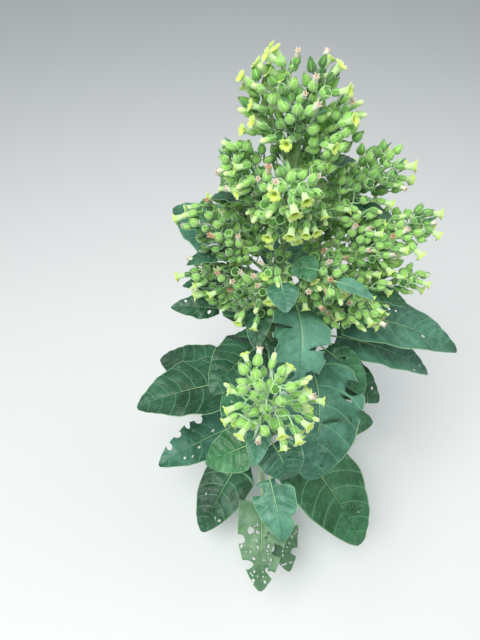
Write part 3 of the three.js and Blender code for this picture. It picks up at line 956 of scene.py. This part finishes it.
def make_leaves():
    """Every leaf that a solid stands for, and the small ones, joined by where they grow."""
    veins = leaf_material("leaf_vein", VEIN_TINT, 0.0, 0.5)
    under = leaf_material("leaf_underside", UNDERSIDE, 0.5, 0.65)
    rib = stem_material("leaf_rib", RIB_TINT["dark"], RIB_TINT["light"], 1.0)
    blades = {tint: leaf_material(f"leaf_{tint}", LEAF_TINTS[tint], 0.5, 0.42) for tint in LEAF_TINTS}
    groups = {}
    for name, spec in {**LEAVES, **SMALL_LEAVES}.items():
        made = make_leaf(f"leaf_{name}_blade", spec, [blades[spec["tint"]], under, veins, rib])
        if name in LEAVES:
            finish_piece(made, "leaf", f"leaf_{name}")
        else:
            groups.setdefault(name.partition("_")[0], []).append(made)
    for group, leaves in groups.items():
        finish_piece(join(f"leaves_{group}", leaves), "leaf")


# Geometry Nodes trees for what repeats: organs dealt out on points, stalks along lines, and hairs.

def run_tree(made, tree, values):
    """Runs a tree on an object with its inputs set, and keeps the result as a plain mesh."""
    step = made.modifiers.new("growth", "NODES")
    step.node_group = tree
    for item in tree.interface.items_tree:
        if item.item_type == "SOCKET" and item.in_out == "INPUT" and item.name in values:
            step[item.identifier] = values[item.name]
    bpy.context.view_layer.update()
    graph = bpy.context.evaluated_depsgraph_get()
    mesh = bpy.data.meshes.new_from_object(made.evaluated_get(graph), depsgraph=graph)
    made.modifiers.clear()
    made.data = mesh
    mesh.name = made.name
    return made


def new_tree(name, **inputs):
    """An empty geometry tree with named inputs."""
    shape = {"Geometry": "shape"}
    return new_group("GeometryNodeTree", name, {**shape, **inputs}, shape)


def dealt_out_tree():
    """An organ on every point, turned and sized by the point's own values, in its three materials."""
    wire, given, result = new_tree("dealt_out", Organ="object", Body="skin", Edge="skin", Heart="skin")
    organ = wire.node("GeometryNodeObjectInfo", {"Object": given["Organ"]}).outputs["Geometry"]
    turn = wire.node("FunctionNodeEulerToRotation", {0: wire.own("turn", "FLOAT_VECTOR")}).outputs[0]
    last = wire.spread(given["Geometry"], organ, turn, wire.own("grow", "FLOAT"))
    for number, label in enumerate(("Body", "Edge", "Heart")):
        pair = {2: wire.own("part", "INT"), 3: number}
        same = wire.node("FunctionNodeCompare", pair, data_type="INT", operation="EQUAL").outputs[0]
        last = wire.painted(last, given[label], same)
    wire.feed(result["Geometry"], last)
    return wire.tree


def stalks_tree():
    """A round stalk along every line, as many units thick as the line's points say."""
    wire, given, result = new_tree("stalks", Sides="whole", Unit="value", Skin="skin")
    line = wire.node("GeometryNodeMeshToCurve", {0: given["Geometry"]}).outputs[0]
    feeds = {"Curve": line, "Radius": wire.own("thick", "FLOAT")}
    sized = wire.node("GeometryNodeSetCurveRadius", feeds).outputs[0]
    feeds = {"Resolution": given["Sides"], "Radius": given["Unit"]}
    ring = wire.node("GeometryNodeCurvePrimitiveCircle", feeds).outputs[0]
    feeds = {"Curve": sized, "Profile Curve": ring, "Fill Caps": True}
    solid = wire.node("GeometryNodeCurveToMesh", feeds).outputs[0]
    smooth = wire.node("GeometryNodeSetShadeSmooth", {"Geometry": solid}).outputs[0]
    real = wire.node("GeometryNodeRealizeInstances", {0: smooth}).outputs[0]
    wire.feed(result["Geometry"], wire.painted(real, given["Skin"]))
    return wire.tree


def hairs_tree():
    """Short stiff hairs all over a skin, standing out from it."""
    sizes = {"Density": "value", "Least": "value", "Most": "value"}
    wire, given, result = new_tree("hairs", Hair="object", **sizes, Seed="whole", Skin="skin")
    feeds = {"Mesh": given["Geometry"], "Density": given["Density"], "Seed": given["Seed"]}
    spots = wire.node("GeometryNodeDistributePointsOnFaces", feeds).outputs
    hair = wire.node("GeometryNodeObjectInfo", {"Object": given["Hair"]}).outputs["Geometry"]
    feeds = {2: given["Least"], 3: given["Most"], "Seed": given["Seed"]}
    size = wire.node("FunctionNodeRandomValue", feeds, data_type="FLOAT").outputs[1]
    real = wire.spread(spots["Points"], hair, spots["Rotation"], size)
    wire.feed(result["Geometry"], wire.painted(real, given["Skin"]))
    return wire.tree


# Hairs stand only where a skin is higher than they are long, so that none reaches the ground.
HAIR = {
    "length": 2.2, "foot": 0.16, "least": 0.6, "most": 1.3, "density": 60000.0, "seed": 5, "lowest": 6.6,
}


def make_hairs(skins):
    """The down of the stems and boughs, as one piece over copies of their skins."""
    foot = HAIR["foot"]
    points = [(foot * math.cos(turn), foot * math.sin(turn), -0.1) for turn in (0, 2.1, 4.2)]
    points.append((0, 0, HAIR["length"]))
    shape = Shape()
    shape.add(points, [(2, 1, 0), (0, 1, 3), (1, 2, 3), (2, 0, 3)])
    hair = shape.make("model_hair", [])
    down = plain_material("stem_down", STEM_COLOURS["down"], 0.7, 0.0)
    copies = []
    for skin in skins:
        copies.append(skin.copy())
        copies[-1].data = skin.data.copy()
        bpy.context.scene.collection.objects.link(copies[-1])
    made = join("stem_hairs", copies)
    work = bmesh.new()
    work.from_mesh(made.data)
    low = [face for face in work.faces if face.calc_center_median().z < HAIR["lowest"] * MM]
    bmesh.ops.delete(work, geom=low, context="FACES")
    work.to_mesh(made.data)
    work.free()
    values = {label.capitalize(): HAIR[label] for label in ("density", "least", "most", "seed")}
    run_tree(made, hairs_tree(), {"Hair": hair, "Skin": down, **values})
    bpy.data.objects.remove(hair)
    finish_piece(made, "stem")


# The small organs of the flower head. Each stands on its stalk at the origin and points up +Z.

# The columns of faces round one lobe: each has its angle from the lobe's middle, and 1 between lobes.
SEPAL = ((0, 0), (31.5, 1), (40.5, 1))
SEPAL_SEAM = 1
PETAL = ((-24, 0), (0, 0), (24, 0), (36, 1))
PLEAT = ((0, 0), (36, 1))
LOBES = 5


def turned(rings, columns, parts, seam=None):
    """A closed solid turned about +Z with lobed rings. A ring is (height, radius), or both again for between
    the lobes, and a radius of 0 closes an end. parts gives the part of each strip between two rings, or two
    parts where the faces after the seam's column differ from the rest."""
    turns = [
        (math.radians(360 / LOBES * lobe + turn), between)
        for lobe in range(LOBES)
        for turn, between in columns
    ]
    sides = len(turns)
    points, faces, slots, starts = [], [], [], []
    for ring in rings:
        starts.append(len(points))
        if ring[1] == 0:
            points.append((0, 0, ring[0]))
            continue
        for angle, between in turns:
            high, wide = ring[2:] if between and len(ring) == 4 else ring[:2]
            points.append((wide * math.cos(angle), wide * math.sin(angle), high))
    for number, part in enumerate(parts):
        low, top = starts[number], starts[number + 1]
        for k in range(sides):
            after = (k + 1) % sides
            if rings[number][1] == 0:
                faces.append((low, top + after, top + k))
            elif rings[number + 1][1] == 0:
                faces.append((low + k, low + after, top))
            else:
                faces.append((low + k, low + after, top + after, top + k))
            on_seam = k % len(columns) == seam
            slots.append(part if isinstance(part, int) else part[1] if on_seam else part[0])
    return points, faces, slots


def organ_object(name, points, faces, parts):
    """A model of an organ, which says for each face which part it belongs to."""
    shape = Shape()
    shape.add(points, faces)
    made = shape.make(name, [])
    mark = made.data.attributes.new("part", "INT", "FACE")
    mark.data.foreach_set("value", parts)
    return made


def organ_shapes():
    """Every kind of organ, with sizes in millimetres. Part 0 is its body, 1 its edge and 2 its heart."""
    fruit = turned(
        [
            (0, 0), (0.1, 1.5), (1.7, 4.5), (4.6, 6.1, 4.6, 5.8), (8.4, 5.5, 8.3, 5.2),
            (11.8, 3.6, 11.2, 3.9), (16.6, 0.8, 12.8, 2.7), (13.6, 1.3, 12.1, 2.2), (13.0, 0),
        ],
        SEPAL,
        [0, 0, 0, (0, 1), (0, 1), (0, 1), 2, 2],
        SEPAL_SEAM,
    )
    ripe = turned(
        [
            (0, 0), (0.1, 1.5), (2.0, 5.0), (5.8, 6.8, 5.8, 6.6), (9.0, 6.7, 8.8, 6.5),
            (11.4, 6.0, 9.4, 6.3), (11.2, 5.3, 9.2, 5.5), (8.6, 4.9), (11.0, 3.2), (12.0, 0),
        ],
        SEPAL,
        [0, 0, 0, (0, 1), (0, 1), 1, 2, 2, 2],
        SEPAL_SEAM,
    )
    cup = turned(
        [
            (0, 0), (0.1, 1.4), (1.8, 3.4), (5.6, 4.7, 5.6, 4.5), (9.0, 4.6, 8.8, 4.5),
            (13.0, 3.4, 10.0, 4.3), (9.4, 3.0), (9.0, 0),
        ],
        SEPAL,
        [0, 0, (0, 1), (0, 1), (0, 1), 1, 2],
        SEPAL_SEAM,
    )
    corolla = turned(
        [
            (8.0, 0), (8.0, 2.8), (13.0, 3.5), (18.0, 4.1), (21.2, 5.0), (23.2, 8.1, 22.0, 6.0),
            (23.7, 7.8, 22.5, 5.7), (22.2, 4.6), (20.4, 2.9), (17.0, 1.7), (16.4, 0),
        ],
        PETAL,
        [0, 0, 0, 0, 1, 1, 1, 1, 2, 2],
    )
    bud = turned(
        [(7.0, 0), (7.0, 2.6), (11.0, 3.1), (15.4, 3.5, 15.4, 3.0), (18.6, 2.8, 18.6, 2.2), (20.6, 0)],
        PLEAT,
        [0, 0, 0, 1, 1],
    )
    faded = turned(
        [
            (8.0, 0), (8.0, 2.8), (13.0, 3.6, 13.0, 2.8), (17.6, 3.4, 17.2, 2.3), (21.2, 4.7, 19.0, 2.6),
            (20.2, 2.8, 19.0, 1.6), (18.8, 0),
        ],
        PLEAT,
        [0, 0, 0, 1, 1, 2],
    )
    shapes = {"fruit": fruit, "ripe": ripe, "cup": cup, "corolla": corolla, "bud": bud, "faded": faded}
    return {name: organ_object(f"model_{name}", *shape) for name, shape in shapes.items()}


def bract_model():
    """A narrow little leaf, folded along its middle, which leans out from where a stalk forks."""
    rows = [(0, 0.8), (4.5, 2.1), (10, 2.3), (15, 1.4), (19, 0.25)]
    points, faces = [], []
    for high, wide in rows:
        back = 0.035 * high**1.7
        points += [(-wide, back - 0.9 * wide, high), (0, back, high), (wide, back - 0.9 * wide, high)]
        points += [(0, back + 0.5, high)]
    for r in range(len(rows) - 1):
        for k in range(4):
            after = (k + 1) % 4
            faces.append((r * 4 + k, r * 4 + after, r * 4 + 4 + after, r * 4 + 4 + k))
    faces += [(3, 2, 1, 0), tuple(len(points) - 4 + k for k in range(4))]
    made = organ_object("model_bract", points, faces, [0] * len(faces))
    outward(made)
    return made


# How the flower head fills its masses. gap is how far apart its organs stand and vary how much that
# changes, tries the places drawn for each gap's cube, shell how deep in a mass organs still grow and inset
# how near to its surface, patch and patch_floor the size and the emptiness of bare patches. side and end
# are the shares of each kind of organ on side twigs and at twig ends, shades those of each shade, and
# leafy that of forks with a bract. turn, stray and level say how flowers aim, and flower how large they
# are. In a cluster with a rim, the ends are those further than the rim from its middle.
KINDS = ("flower", "bud", "faded", "fruit", "ripe")
# Each organ's green comes in three shades: partly its own spread of tones and partly painted light and shade,
# the bright ones lit and the deep ones shaded copies.
SHADES = ("bright", "mid", "deep")
HABIT = {
    "gap": 14.2, "vary": 0.5, "tries": 34, "shell": 34, "inset": 5.0, "patch": 0.022, "patch_floor": -0.3,
    "side": (4, 6, 7, 57, 26), "end": (26, 14, 12, 36, 12), "shades": (4, 4, 2), "leafy": 0.14,
    "turn": 1.0, "stray": 0.4, "flower": 1.0, "level": 875, "rim": 0,
}
# The top sprays and the highest boughs take more of the bright shade and fewer deep ones, partly as painted
# light on the head's top.
TOP_HABIT = dict(
    HABIT, gap=13.6, side=(5, 8, 8, 64, 15), end=(26, 22, 12, 38, 2), shades=(6, 4, 1), patch_floor=-0.5,
    shell=60,
)
HIGH_BOUGHS = ("top_left", "upper_right")
# The boughs on the right stand fuller than the rest, and take more of the bright shade, which is partly
# painted light.
FULL_HABIT = dict(HABIT, gap=13.6, end=(34, 14, 12, 30, 10), shades=(6, 4, 0), patch_floor=-0.6)
FULL_BOUGHS = ("right", "right_low", "right_upper", "front_right")
SHOOT_HABIT = dict(
    HABIT, gap=17.2, side=(6, 6, 2, 76, 10), end=(48, 16, 8, 28, 0), shades=(5, 5, 0), patch_floor=-0.5,
    shell=60, inset=7.0, stray=0.3, flower=0.88, level=745, rim=24,
)
# The stem forks near its top, at this height, along arched lines that end this far to the back.
TOP_FORK = {"height": 895, "steps": 12, "arch": 6, "back": -2}
# Its sprays are two peaks over a broad one: how far aside, how high and how wide.
TOP_SPRAYS = ((-6, 981, 27), (33, 972, 27), (14, 938, 36))
# The side shoot's cluster has an axis that rises on from the shoot's end.
CLUSTER_AXIS = {"rise": (7, -4, 70), "sunk": 4, "steps": 14}
# Sprays on the bare part of a bough: how far along, and how wide.
INNER_SPRAYS = {
    "left": (0.56, 32), "left_low": (0.6, 38), "front_left": (0.68, 36), "front": (0.5, 24),
    "front_right": (0.6, 28), "right": (0.52, 34), "right_low": (0.56, 34), "right_upper": (0.5, 30),
    "back_right": (0.52, 30), "back_left": (0.52, 30), "upper_left": (0.5, 26), "upper_back": (0.5, 26),
    "upper_right": (0.45, 24),
}
# More such sprays fill the crown's waist, in front and on its left.
WAIST_SPRAYS = {"left": (0.36, 30), "front_left": (0.42, 28), "front_low": (0.6, 30), "left_low": (0.4, 26)}
SPRAY_RAISED = 0.6
# Flowers above their habit's level look up, and those below it nod: over the span the change is full.
NOD = {"span": 130, "down": -0.3, "up": 0.6, "back": 0.4, "own_aim": 0.25}
# An open flower's mouth stands this far along its aim, and this far at least from every other mouth.
MOUTH = {"along": 22, "gap": 17}
# The least and the greatest of what is drawn: the size of an organ as a share of its model, its spin, and
# how far the shell and the bare patches of a mass vary.
DRAWN = {
    "fruit": (0.84, 1.1), "flower": (0.88, 1.08), "corolla": (0.95, 1.08), "bract": (0.6, 1.5),
    "spin": (0, 6.28), "shell": (0.5, 1.2), "patch": (0.6, 1.4),
}
# How thick the twig along a mass's axis is, at its start and at its end.
AXIS_WIDTHS = {"bough": (0.5, 0.5), "top": (2.0, 1.0), "shoot": (2.3, 1.2)}
# How a twig chooses the fork that it starts from and where it ends, and how thick twigs and stalks are.
TWIG = {
    "upward": 0.45, "turn_cost": 1.9, "straight": 0.75, "outward": 0.6, "organ_stalk": 6, "fork_at": 0.62,
    "arch": 0.08, "thin": 0.62, "per_load": 0.19, "thick": 1.6, "foot": 1.08,
}
STALK = {"bend": 0.45, "into_organ": 0.8, "foot": 0.68, "top": 0.85, "sides": 5}
SPRAY_SHADE = {"patch": 0.028, "strength": 1.3, "stray": 0.22}
HEAD_SEED = 7
# A bract's lean upwards, and how far a withered corolla tilts and which tint it takes.
BRACT_LIFT = 0.2
FADED = {"tilt": 0.2, "tints": ("tan", "pale", "pale")}
# Organs are listed by the cube of space that they stand in, and looked for in the cubes next to it.
CELL = 16
# The places over a small leaf's blade that are kept clear, with the gap that each one keeps.
KEPT_CLEAR = {"along": (0.15, 0.4, 0.65, 0.9), "across": (-0.5, 0.5), "lifts": (4, 18, 32), "gap": 14}


class FlowerHead:
    """The branching rule of the flower head. Each organ finds a free place in its mass and joins the
    nearest twig below it, so the twigs fork again and again as they reach outwards."""

    def __init__(self, seed):
        self.rng = random.Random(seed)
        self.lines, self.organs, self.taken, self.mouths = [], {}, {}, []
        for spec in SMALL_LEAVES.values():
            if spec["clear"]:
                self.keep_clear(spec)

    def drawn(self, what):
        return self.rng.uniform(*DRAWN[what])

    def cell(self, place):
        return tuple(int(math.floor(c / CELL)) for c in place)

    def is_free(self, place, gap):
        """True where no organ near by stands closer than the gap, and then the place is taken."""
        cell = self.cell(place)
        for step in itertools.product((-1, 0, 1), repeat=3):
            near = tuple(c + s for c, s in zip(cell, step))
            for other, own_gap in self.taken.get(near, ()):
                if (other - place).length < (gap + own_gap) / 2:
                    return False
        self.taken.setdefault(cell, []).append((place, gap))
        return True

    def keep_clear(self, spec):
        """Keeps the air over a small leaf's blade free of organs."""
        line = leaf_line(spec)
        choices = itertools.product(KEPT_CLEAR["along"], KEPT_CLEAR["across"], KEPT_CLEAR["lifts"])
        for along, across, lift in choices:
            wide = abs(margin(spec, along)[1] * across)
            spot = blade_point(spec, line, math.copysign(1, across), along * spec["length"], wide, lift)
            self.taken.setdefault(self.cell(spot), []).append((spot, KEPT_CLEAR["gap"]))

    def free_places(self, surface, low, high, habit):
        """Places inside a mass, in patches, more of them towards its surface."""
        rng = self.rng
        volume = (high.x - low.x) * (high.y - low.y) * (high.z - low.z)
        places = []
        for _ in range(int(habit["tries"] * volume / habit["gap"] ** 3)):
            place = Vector([rng.uniform(a, b) for a, b in zip(low, high)])
            near, normal, _, depth = surface.find_nearest(place)
            if near is None or (near - place).dot(normal) <= 0 or depth < habit["inset"]:
                continue
            if depth > habit["shell"] * self.drawn("shell"):
                continue
            if noise.noise(place * habit["patch"]) < habit["patch_floor"] * self.drawn("patch"):
                continue
            closeness = 1 + habit["vary"] * noise.noise(place * 0.05 + Vector((5, 9, 2)))
            if self.is_free(place, habit["gap"] * closeness):
                places.append(place)
        return places

    def put(self, kind, place, direction, grow, spin):
        turn = (direction.to_track_quat("Z", "X").to_matrix() @ Matrix.Rotation(spin, 3, "Z")).to_euler()
        self.organs.setdefault(kind, []).append((place, turn, grow))

    def mass(self, room, axis, widths, habit):
        """Everything that grows on one axis within a room, which is a surface with its two corners."""
        surface, low, high = room
        middle = axis[len(axis) // 2] if habit["rim"] else stem_point(min(axis[0].z, axis[-1].z))
        knots = [{"place": p, "parent": i - 1, "load": 0, "free": False} for i, p in enumerate(axis)]
        organs = []
        places = self.free_places(surface, low, high, habit)
        places.sort(key=lambda p: min((p - a).length for a in axis))
        for place in places:
            outward_way = (place - middle).normalized()
            out = (outward_way + UP * TWIG["upward"]).normalized()

            def cost(knot):
                gap = place - knot["place"]
                return gap.length * (TWIG["turn_cost"] - gap.normalized().dot(out))

            parent = min(range(len(knots)), key=lambda i: cost(knots[i]))
            start = knots[parent]["place"]
            ahead = (place - start).normalized()
            aim = (ahead * TWIG["straight"] + out * TWIG["outward"]).normalized()
            base = place - aim * TWIG["organ_stalk"]
            fork = start.lerp(base, TWIG["fork_at"]) + (base - start).length * TWIG["arch"] * UP
            knots.append({"place": fork, "parent": parent, "load": 1, "free": True})
            organs.append((base, aim, len(knots) - 1))
        parents = {knot["parent"] for knot in knots}
        for number in range(len(knots) - 1, -1, -1):
            if knots[number]["parent"] >= 0:
                knots[knots[number]["parent"]]["load"] += knots[number]["load"]
        self.lines.append((axis, *widths))
        self.stalks(knots, organs)
        for base, aim, number in organs:
            shade = self.spray_shade(base, habit)
            inner = number in parents
            if habit["rim"]:
                inner = math.hypot(base.x - middle.x, base.y - middle.y) < habit["rim"]
            self.organ(base, aim, middle, habit, habit["side"] if inner else habit["end"], shade)
            if self.rng.random() < habit["leafy"]:
                fork = knots[number]["place"]
                lean = (aim + (fork - middle).normalized() + UP * BRACT_LIFT).normalized()
                self.put("bract", fork, lean, self.drawn("bract"), self.drawn("spin"))

    def stalks(self, knots, organs):
        """The twigs between forks, thicker where they carry more, and the thin stalk of each organ."""
        for knot in knots:
            if knot["free"]:
                start = knots[knot["parent"]]["place"]
                thick = min(TWIG["thin"] + TWIG["per_load"] * knot["load"] ** 0.5, TWIG["thick"])
                self.lines.append(([start, knot["place"]], thick * TWIG["foot"], thick))
        for base, aim, number in organs:
            fork = knots[number]["place"]
            bend = base - aim * STALK["bend"] * (base - fork).length
            top = base + aim * STALK["into_organ"]
            self.lines.append(([fork, bend, top], STALK["foot"], STALK["top"]))

    def spray_shade(self, place, habit):
        """The shade of a spray: one choice for all that stands together, with a few that differ."""
        patch = noise.noise(place * SPRAY_SHADE["patch"] + Vector((31, 7, 3)))
        bright, mid, deep = habit["shades"]
        stray = self.rng.uniform(-SPRAY_SHADE["stray"], SPRAY_SHADE["stray"])
        share = min(max(0.5 + patch * SPRAY_SHADE["strength"] + stray, 0), 0.999)
        level = share * (bright + mid + deep)
        return SHADES[0] if level < bright else SHADES[1] if level < bright + mid else SHADES[2]

    def organ(self, base, aim, middle, habit, odds, shade):
        """A fruit, a bud or a flower on its stalk."""
        rng = self.rng
        kind = rng.choices(KINDS, odds)[0]
        grow, spin = self.drawn("fruit"), self.drawn("spin")
        if kind in ("flower", "bud"):
            level_way = Vector((base.x - middle.x, base.y - middle.y, 0)).normalized()
            stray = Vector([rng.uniform(-1, 1) for _ in range(3)])
            nod = min(max((base.z - habit["level"]) / NOD["span"], NOD["down"]), NOD["up"])
            nod += NOD["back"] * level_way.y
            aim = aim * NOD["own_aim"] + level_way * habit["turn"] + UP * nod + stray * habit["stray"]
            aim.normalize()
            grow = habit["flower"] * self.drawn("flower")
            mouth = base + aim * MOUTH["along"] * grow
            if kind == "flower" and any((mouth - other).length < MOUTH["gap"] for other in self.mouths):
                kind = "bud"
            if kind == "flower":
                self.mouths.append(mouth)
            self.put(f"cup_{shade}", base, aim, grow, spin)
            kind = "corolla" if kind == "flower" else "buds"
            self.put(kind, base, aim, grow * self.drawn("corolla"), spin)
            return
        self.put(f"{'ripe' if kind == 'ripe' else 'fruit'}_{shade}", base, aim, grow, spin)
        if kind == "faded":
            tilt = Vector((rng.uniform(-1, 1), rng.uniform(-1, 1), rng.uniform(-1, 0.4))) * FADED["tilt"]
            tint = rng.choice(FADED["tints"])
            self.put(f"faded_{tint}", base + aim, (aim + tilt).normalized(), grow, spin)


# The body's, the edge's and the heart's colour of each kind or shade of organ.
# Of these, the bright, mid and deep colours are partly the organs' own greens and partly painted light and
# shade.
ORGAN_COLOURS = {
    "bright": ((146, 202, 96), (200, 236, 156), (84, 142, 50)),
    "mid": ((110, 166, 74), (172, 220, 132), (48, 100, 34)),
    "deep": ((74, 124, 52), (136, 190, 108), (30, 74, 26)),
    "corolla": ((198, 232, 158), (204, 232, 104), (168, 192, 46)),
    "buds": ((188, 222, 138), (208, 232, 156), (188, 222, 138)),
    "faded_tan": ((212, 192, 146), (198, 152, 112), (150, 108, 76)),
    "faded_pale": ((224, 230, 200), (222, 202, 176), (172, 140, 106)),
    "bract": ((80, 144, 86),) * 3,
    "stalks": ((164, 208, 142),),
}


def mass_surface(name):
    """The surface of a mass in millimetres, with its lowest and highest corner."""
    mesh = frame["nodes"][f"flowers_{name}"].data
    points = [v.co / MM for v in mesh.vertices]
    tree = BVHTree.FromPolygons(points, [tuple(p.vertices) for p in mesh.polygons])
    corners = [Vector([pick(p[i] for p in points) for i in range(3)]) for pick in (min, max)]
    return tree, corners[0], corners[1]


def ball_surface(centre, radius):
    """A ball's surface with its lowest and highest corner, like those of a mass."""
    work = bmesh.new()
    bmesh.ops.create_icosphere(work, subdivisions=2, radius=radius, matrix=Matrix.Translation(centre))
    tree = BVHTree.FromBMesh(work)
    work.free()
    corner = Vector((radius, radius, radius))
    return tree, centre - corner, centre + corner


def deal_out(name, placings, model, tree, colours):
    """One piece of all the organs of a kind and shade."""
    mesh = bpy.data.meshes.new(name)
    mesh.from_pydata([p * MM for p, _, _ in placings], [], [])
    turn = mesh.attributes.new("turn", "FLOAT_VECTOR", "POINT")
    turn.data.foreach_set("vector", [c for _, euler, _ in placings for c in euler])
    grow = mesh.attributes.new("grow", "FLOAT", "POINT")
    grow.data.foreach_set("value", [g for _, _, g in placings])
    return run_tree(scene_object(name, mesh), tree, {"Organ": model, **colours})


def inner_spray(head, name, share, radius):
    """A ball of organs that stands on a bough, a share of the way along it."""
    line = bough_line(name)
    room = ball_surface(line[round(BOUGH_STEPS["all"] * share)] + UP * SPRAY_RAISED * radius, radius)
    axis = line[BOUGH_STEPS["spray_starts"] : BOUGH_STEPS["skin_ends"]]
    head.mass(room, axis, AXIS_WIDTHS["bough"], HABIT)


def top_axis(tip):
    """The line from the stem's fork to the middle of one of its top sprays."""
    foot, steps = stem_point(TOP_FORK["height"]), TOP_FORK["steps"]
    return [
        foot.lerp(tip, step / steps) + UP * TOP_FORK["arch"] * math.sin(math.pi * step / steps)
        for step in range(steps + 1)
    ]


def grow_head(seed):
    """The whole flower head: its top, its boughs' masses, its sprays and the side shoot's cluster."""
    head = FlowerHead(seed)
    for aside, height, radius in TOP_SPRAYS:
        tip = Vector((aside, TOP_FORK["back"], height))
        head.mass(ball_surface(tip, radius), top_axis(tip), AXIS_WIDTHS["top"], TOP_HABIT)
    for name in BOUGHS:
        habit = TOP_HABIT if name in HIGH_BOUGHS else FULL_HABIT if name in FULL_BOUGHS else HABIT
        axis = bough_line(name)[BOUGH_STEPS["mass_starts"] : BOUGH_STEPS["skin_ends"]]
        head.mass(mass_surface(name), axis, AXIS_WIDTHS["bough"], habit)
    for name, (share, radius) in INNER_SPRAYS.items():
        inner_spray(head, name, share, radius)
    axis = []
    for step in range(CLUSTER_AXIS["steps"] + 1):
        rise = Vector([c * (step / CLUSTER_AXIS["steps"]) for c in CLUSTER_AXIS["rise"]])
        axis.append(SHOOT_LINE[-1] + rise - UP * CLUSTER_AXIS["sunk"])
    head.mass(mass_surface("shoot"), axis, AXIS_WIDTHS["shoot"], SHOOT_HABIT)
    for name, (share, radius) in WAIST_SPRAYS.items():
        inner_spray(head, name, share, radius)
    return head


def make_flower_head():
    """All the masses' stalks, fruits, flowers and bracts."""
    head = grow_head(HEAD_SEED)
    nodes = [f"flowers_{name}" for name in [*BOUGHS, "top", "shoot"]]
    paints = {}
    for kind, colours in ORGAN_COLOURS.items():
        paints[kind] = {
            part.capitalize(): plain_material(f"{kind}_{part}", tone(*shares))
            for part, shares in zip(("body", "edge", "heart"), colours)
        }
    models = organ_shapes()
    models["bract"] = bract_model()
    dealing, stalking = dealt_out_tree(), stalks_tree()
    for kind, placings in sorted(head.organs.items()):
        shape, _, shade = kind.partition("_")
        model = models[{"buds": "bud"}.get(shape, shape)]
        paint = paints[kind if kind in paints else shade]
        piece = deal_out(f"head_{kind}", placings, model, dealing, paint)
        finish_piece(piece, "flowers", *nodes)
    for model in models.values():
        bpy.data.objects.remove(model)
    finish_piece(make_stalks(head.lines, stalking, paints["stalks"]["Body"]), "stem", *nodes)


def make_stalks(lines, tree, skin):
    """The twigs and flower stalks, from their lines."""
    points, edges, thick = [], [], []
    for line, first, last in lines:
        start = len(points)
        points += [p * MM for p in line]
        edges += [(start + i, start + i + 1) for i in range(len(line) - 1)]
        thick += [first + (last - first) * i / (len(line) - 1) for i in range(len(line))]
    mesh = bpy.data.meshes.new("head_stalks")
    mesh.from_pydata(points, edges, [])
    mesh.attributes.new("thick", "FLOAT", "POINT").data.foreach_set("value", thick)
    values = {"Sides": STALK["sides"], "Unit": MM, "Skin": skin}
    return run_tree(scene_object("head_stalks", mesh), tree, values)


def make_boughs():
    """The boughs of the flower head, each from the stem to near the tip of its mass."""
    boughs = []
    for name in BOUGHS:
        line = bough_line(name)[: BOUGH_STEPS["skin_ends"]]
        last = len(line) - 1
        shares = [(i / last) ** BOUGH["taper"] for i in range(last + 1)]
        radii = [BOUGH["base"] + (BOUGH["tip"] - BOUGH["base"]) * share for share in shares]
        made = limb_piece(f"bough_{name}", line, radii, LIMB["bough_sides"], [0])
        finish_piece(made, "stem", f"branch_{name}")
        boughs.append(made)
    return boughs


# Light, floor and backdrop.

FLOOR = {"reach": 6, "colour": tone(238, 239, 236)}
SKY = {"colour": (0.86, 0.93, 1.0, 1), "strength": 0.42}
# Each lamp's place, width and power. Both look at the plant's middle.
LAMPS = {"key": ((-0.65, -1.0, 2.75), 1.5, 66), "fill": ((1.6, 0.3, 2.2), 2.0, 12)}
PLANT_MIDDLE = Vector((0, 0, 0.5))


def make_studio():
    """A plain pale floor under a soft sky and two broad lamps."""
    reach = FLOOR["reach"]
    corners = [(-reach, -reach, 0), (reach, -reach, 0), (reach, reach, 0), (-reach, reach, 0)]
    mesh = bpy.data.meshes.new("floor")
    mesh.from_pydata(corners, [], [(0, 1, 2, 3)])
    mesh.materials.append(plain_material("floor", FLOOR["colour"], 0.9, 0.0))
    floor = scene_object("floor", mesh)
    world = bpy.data.worlds.new("studio")
    bpy.context.scene.world = world
    world.use_nodes = True
    background = world.node_tree.nodes["Background"]
    background.inputs["Color"].default_value = SKY["colour"]
    background.inputs["Strength"].default_value = SKY["strength"]
    for name, (place, width, power) in LAMPS.items():
        lamp = bpy.data.lights.new(name, "AREA")
        lamp.size = width
        lamp.energy = power
        light = scene_object(name, lamp)
        light.location = place
        light.rotation_euler = (PLANT_MIDDLE - Vector(place)).to_track_quat("-Z", "Y").to_euler()
    bpy.context.scene.view_settings.view_transform = "Standard"


make_hairs(make_stems() + make_boughs())
make_leaves()
make_flower_head()
make_studio()
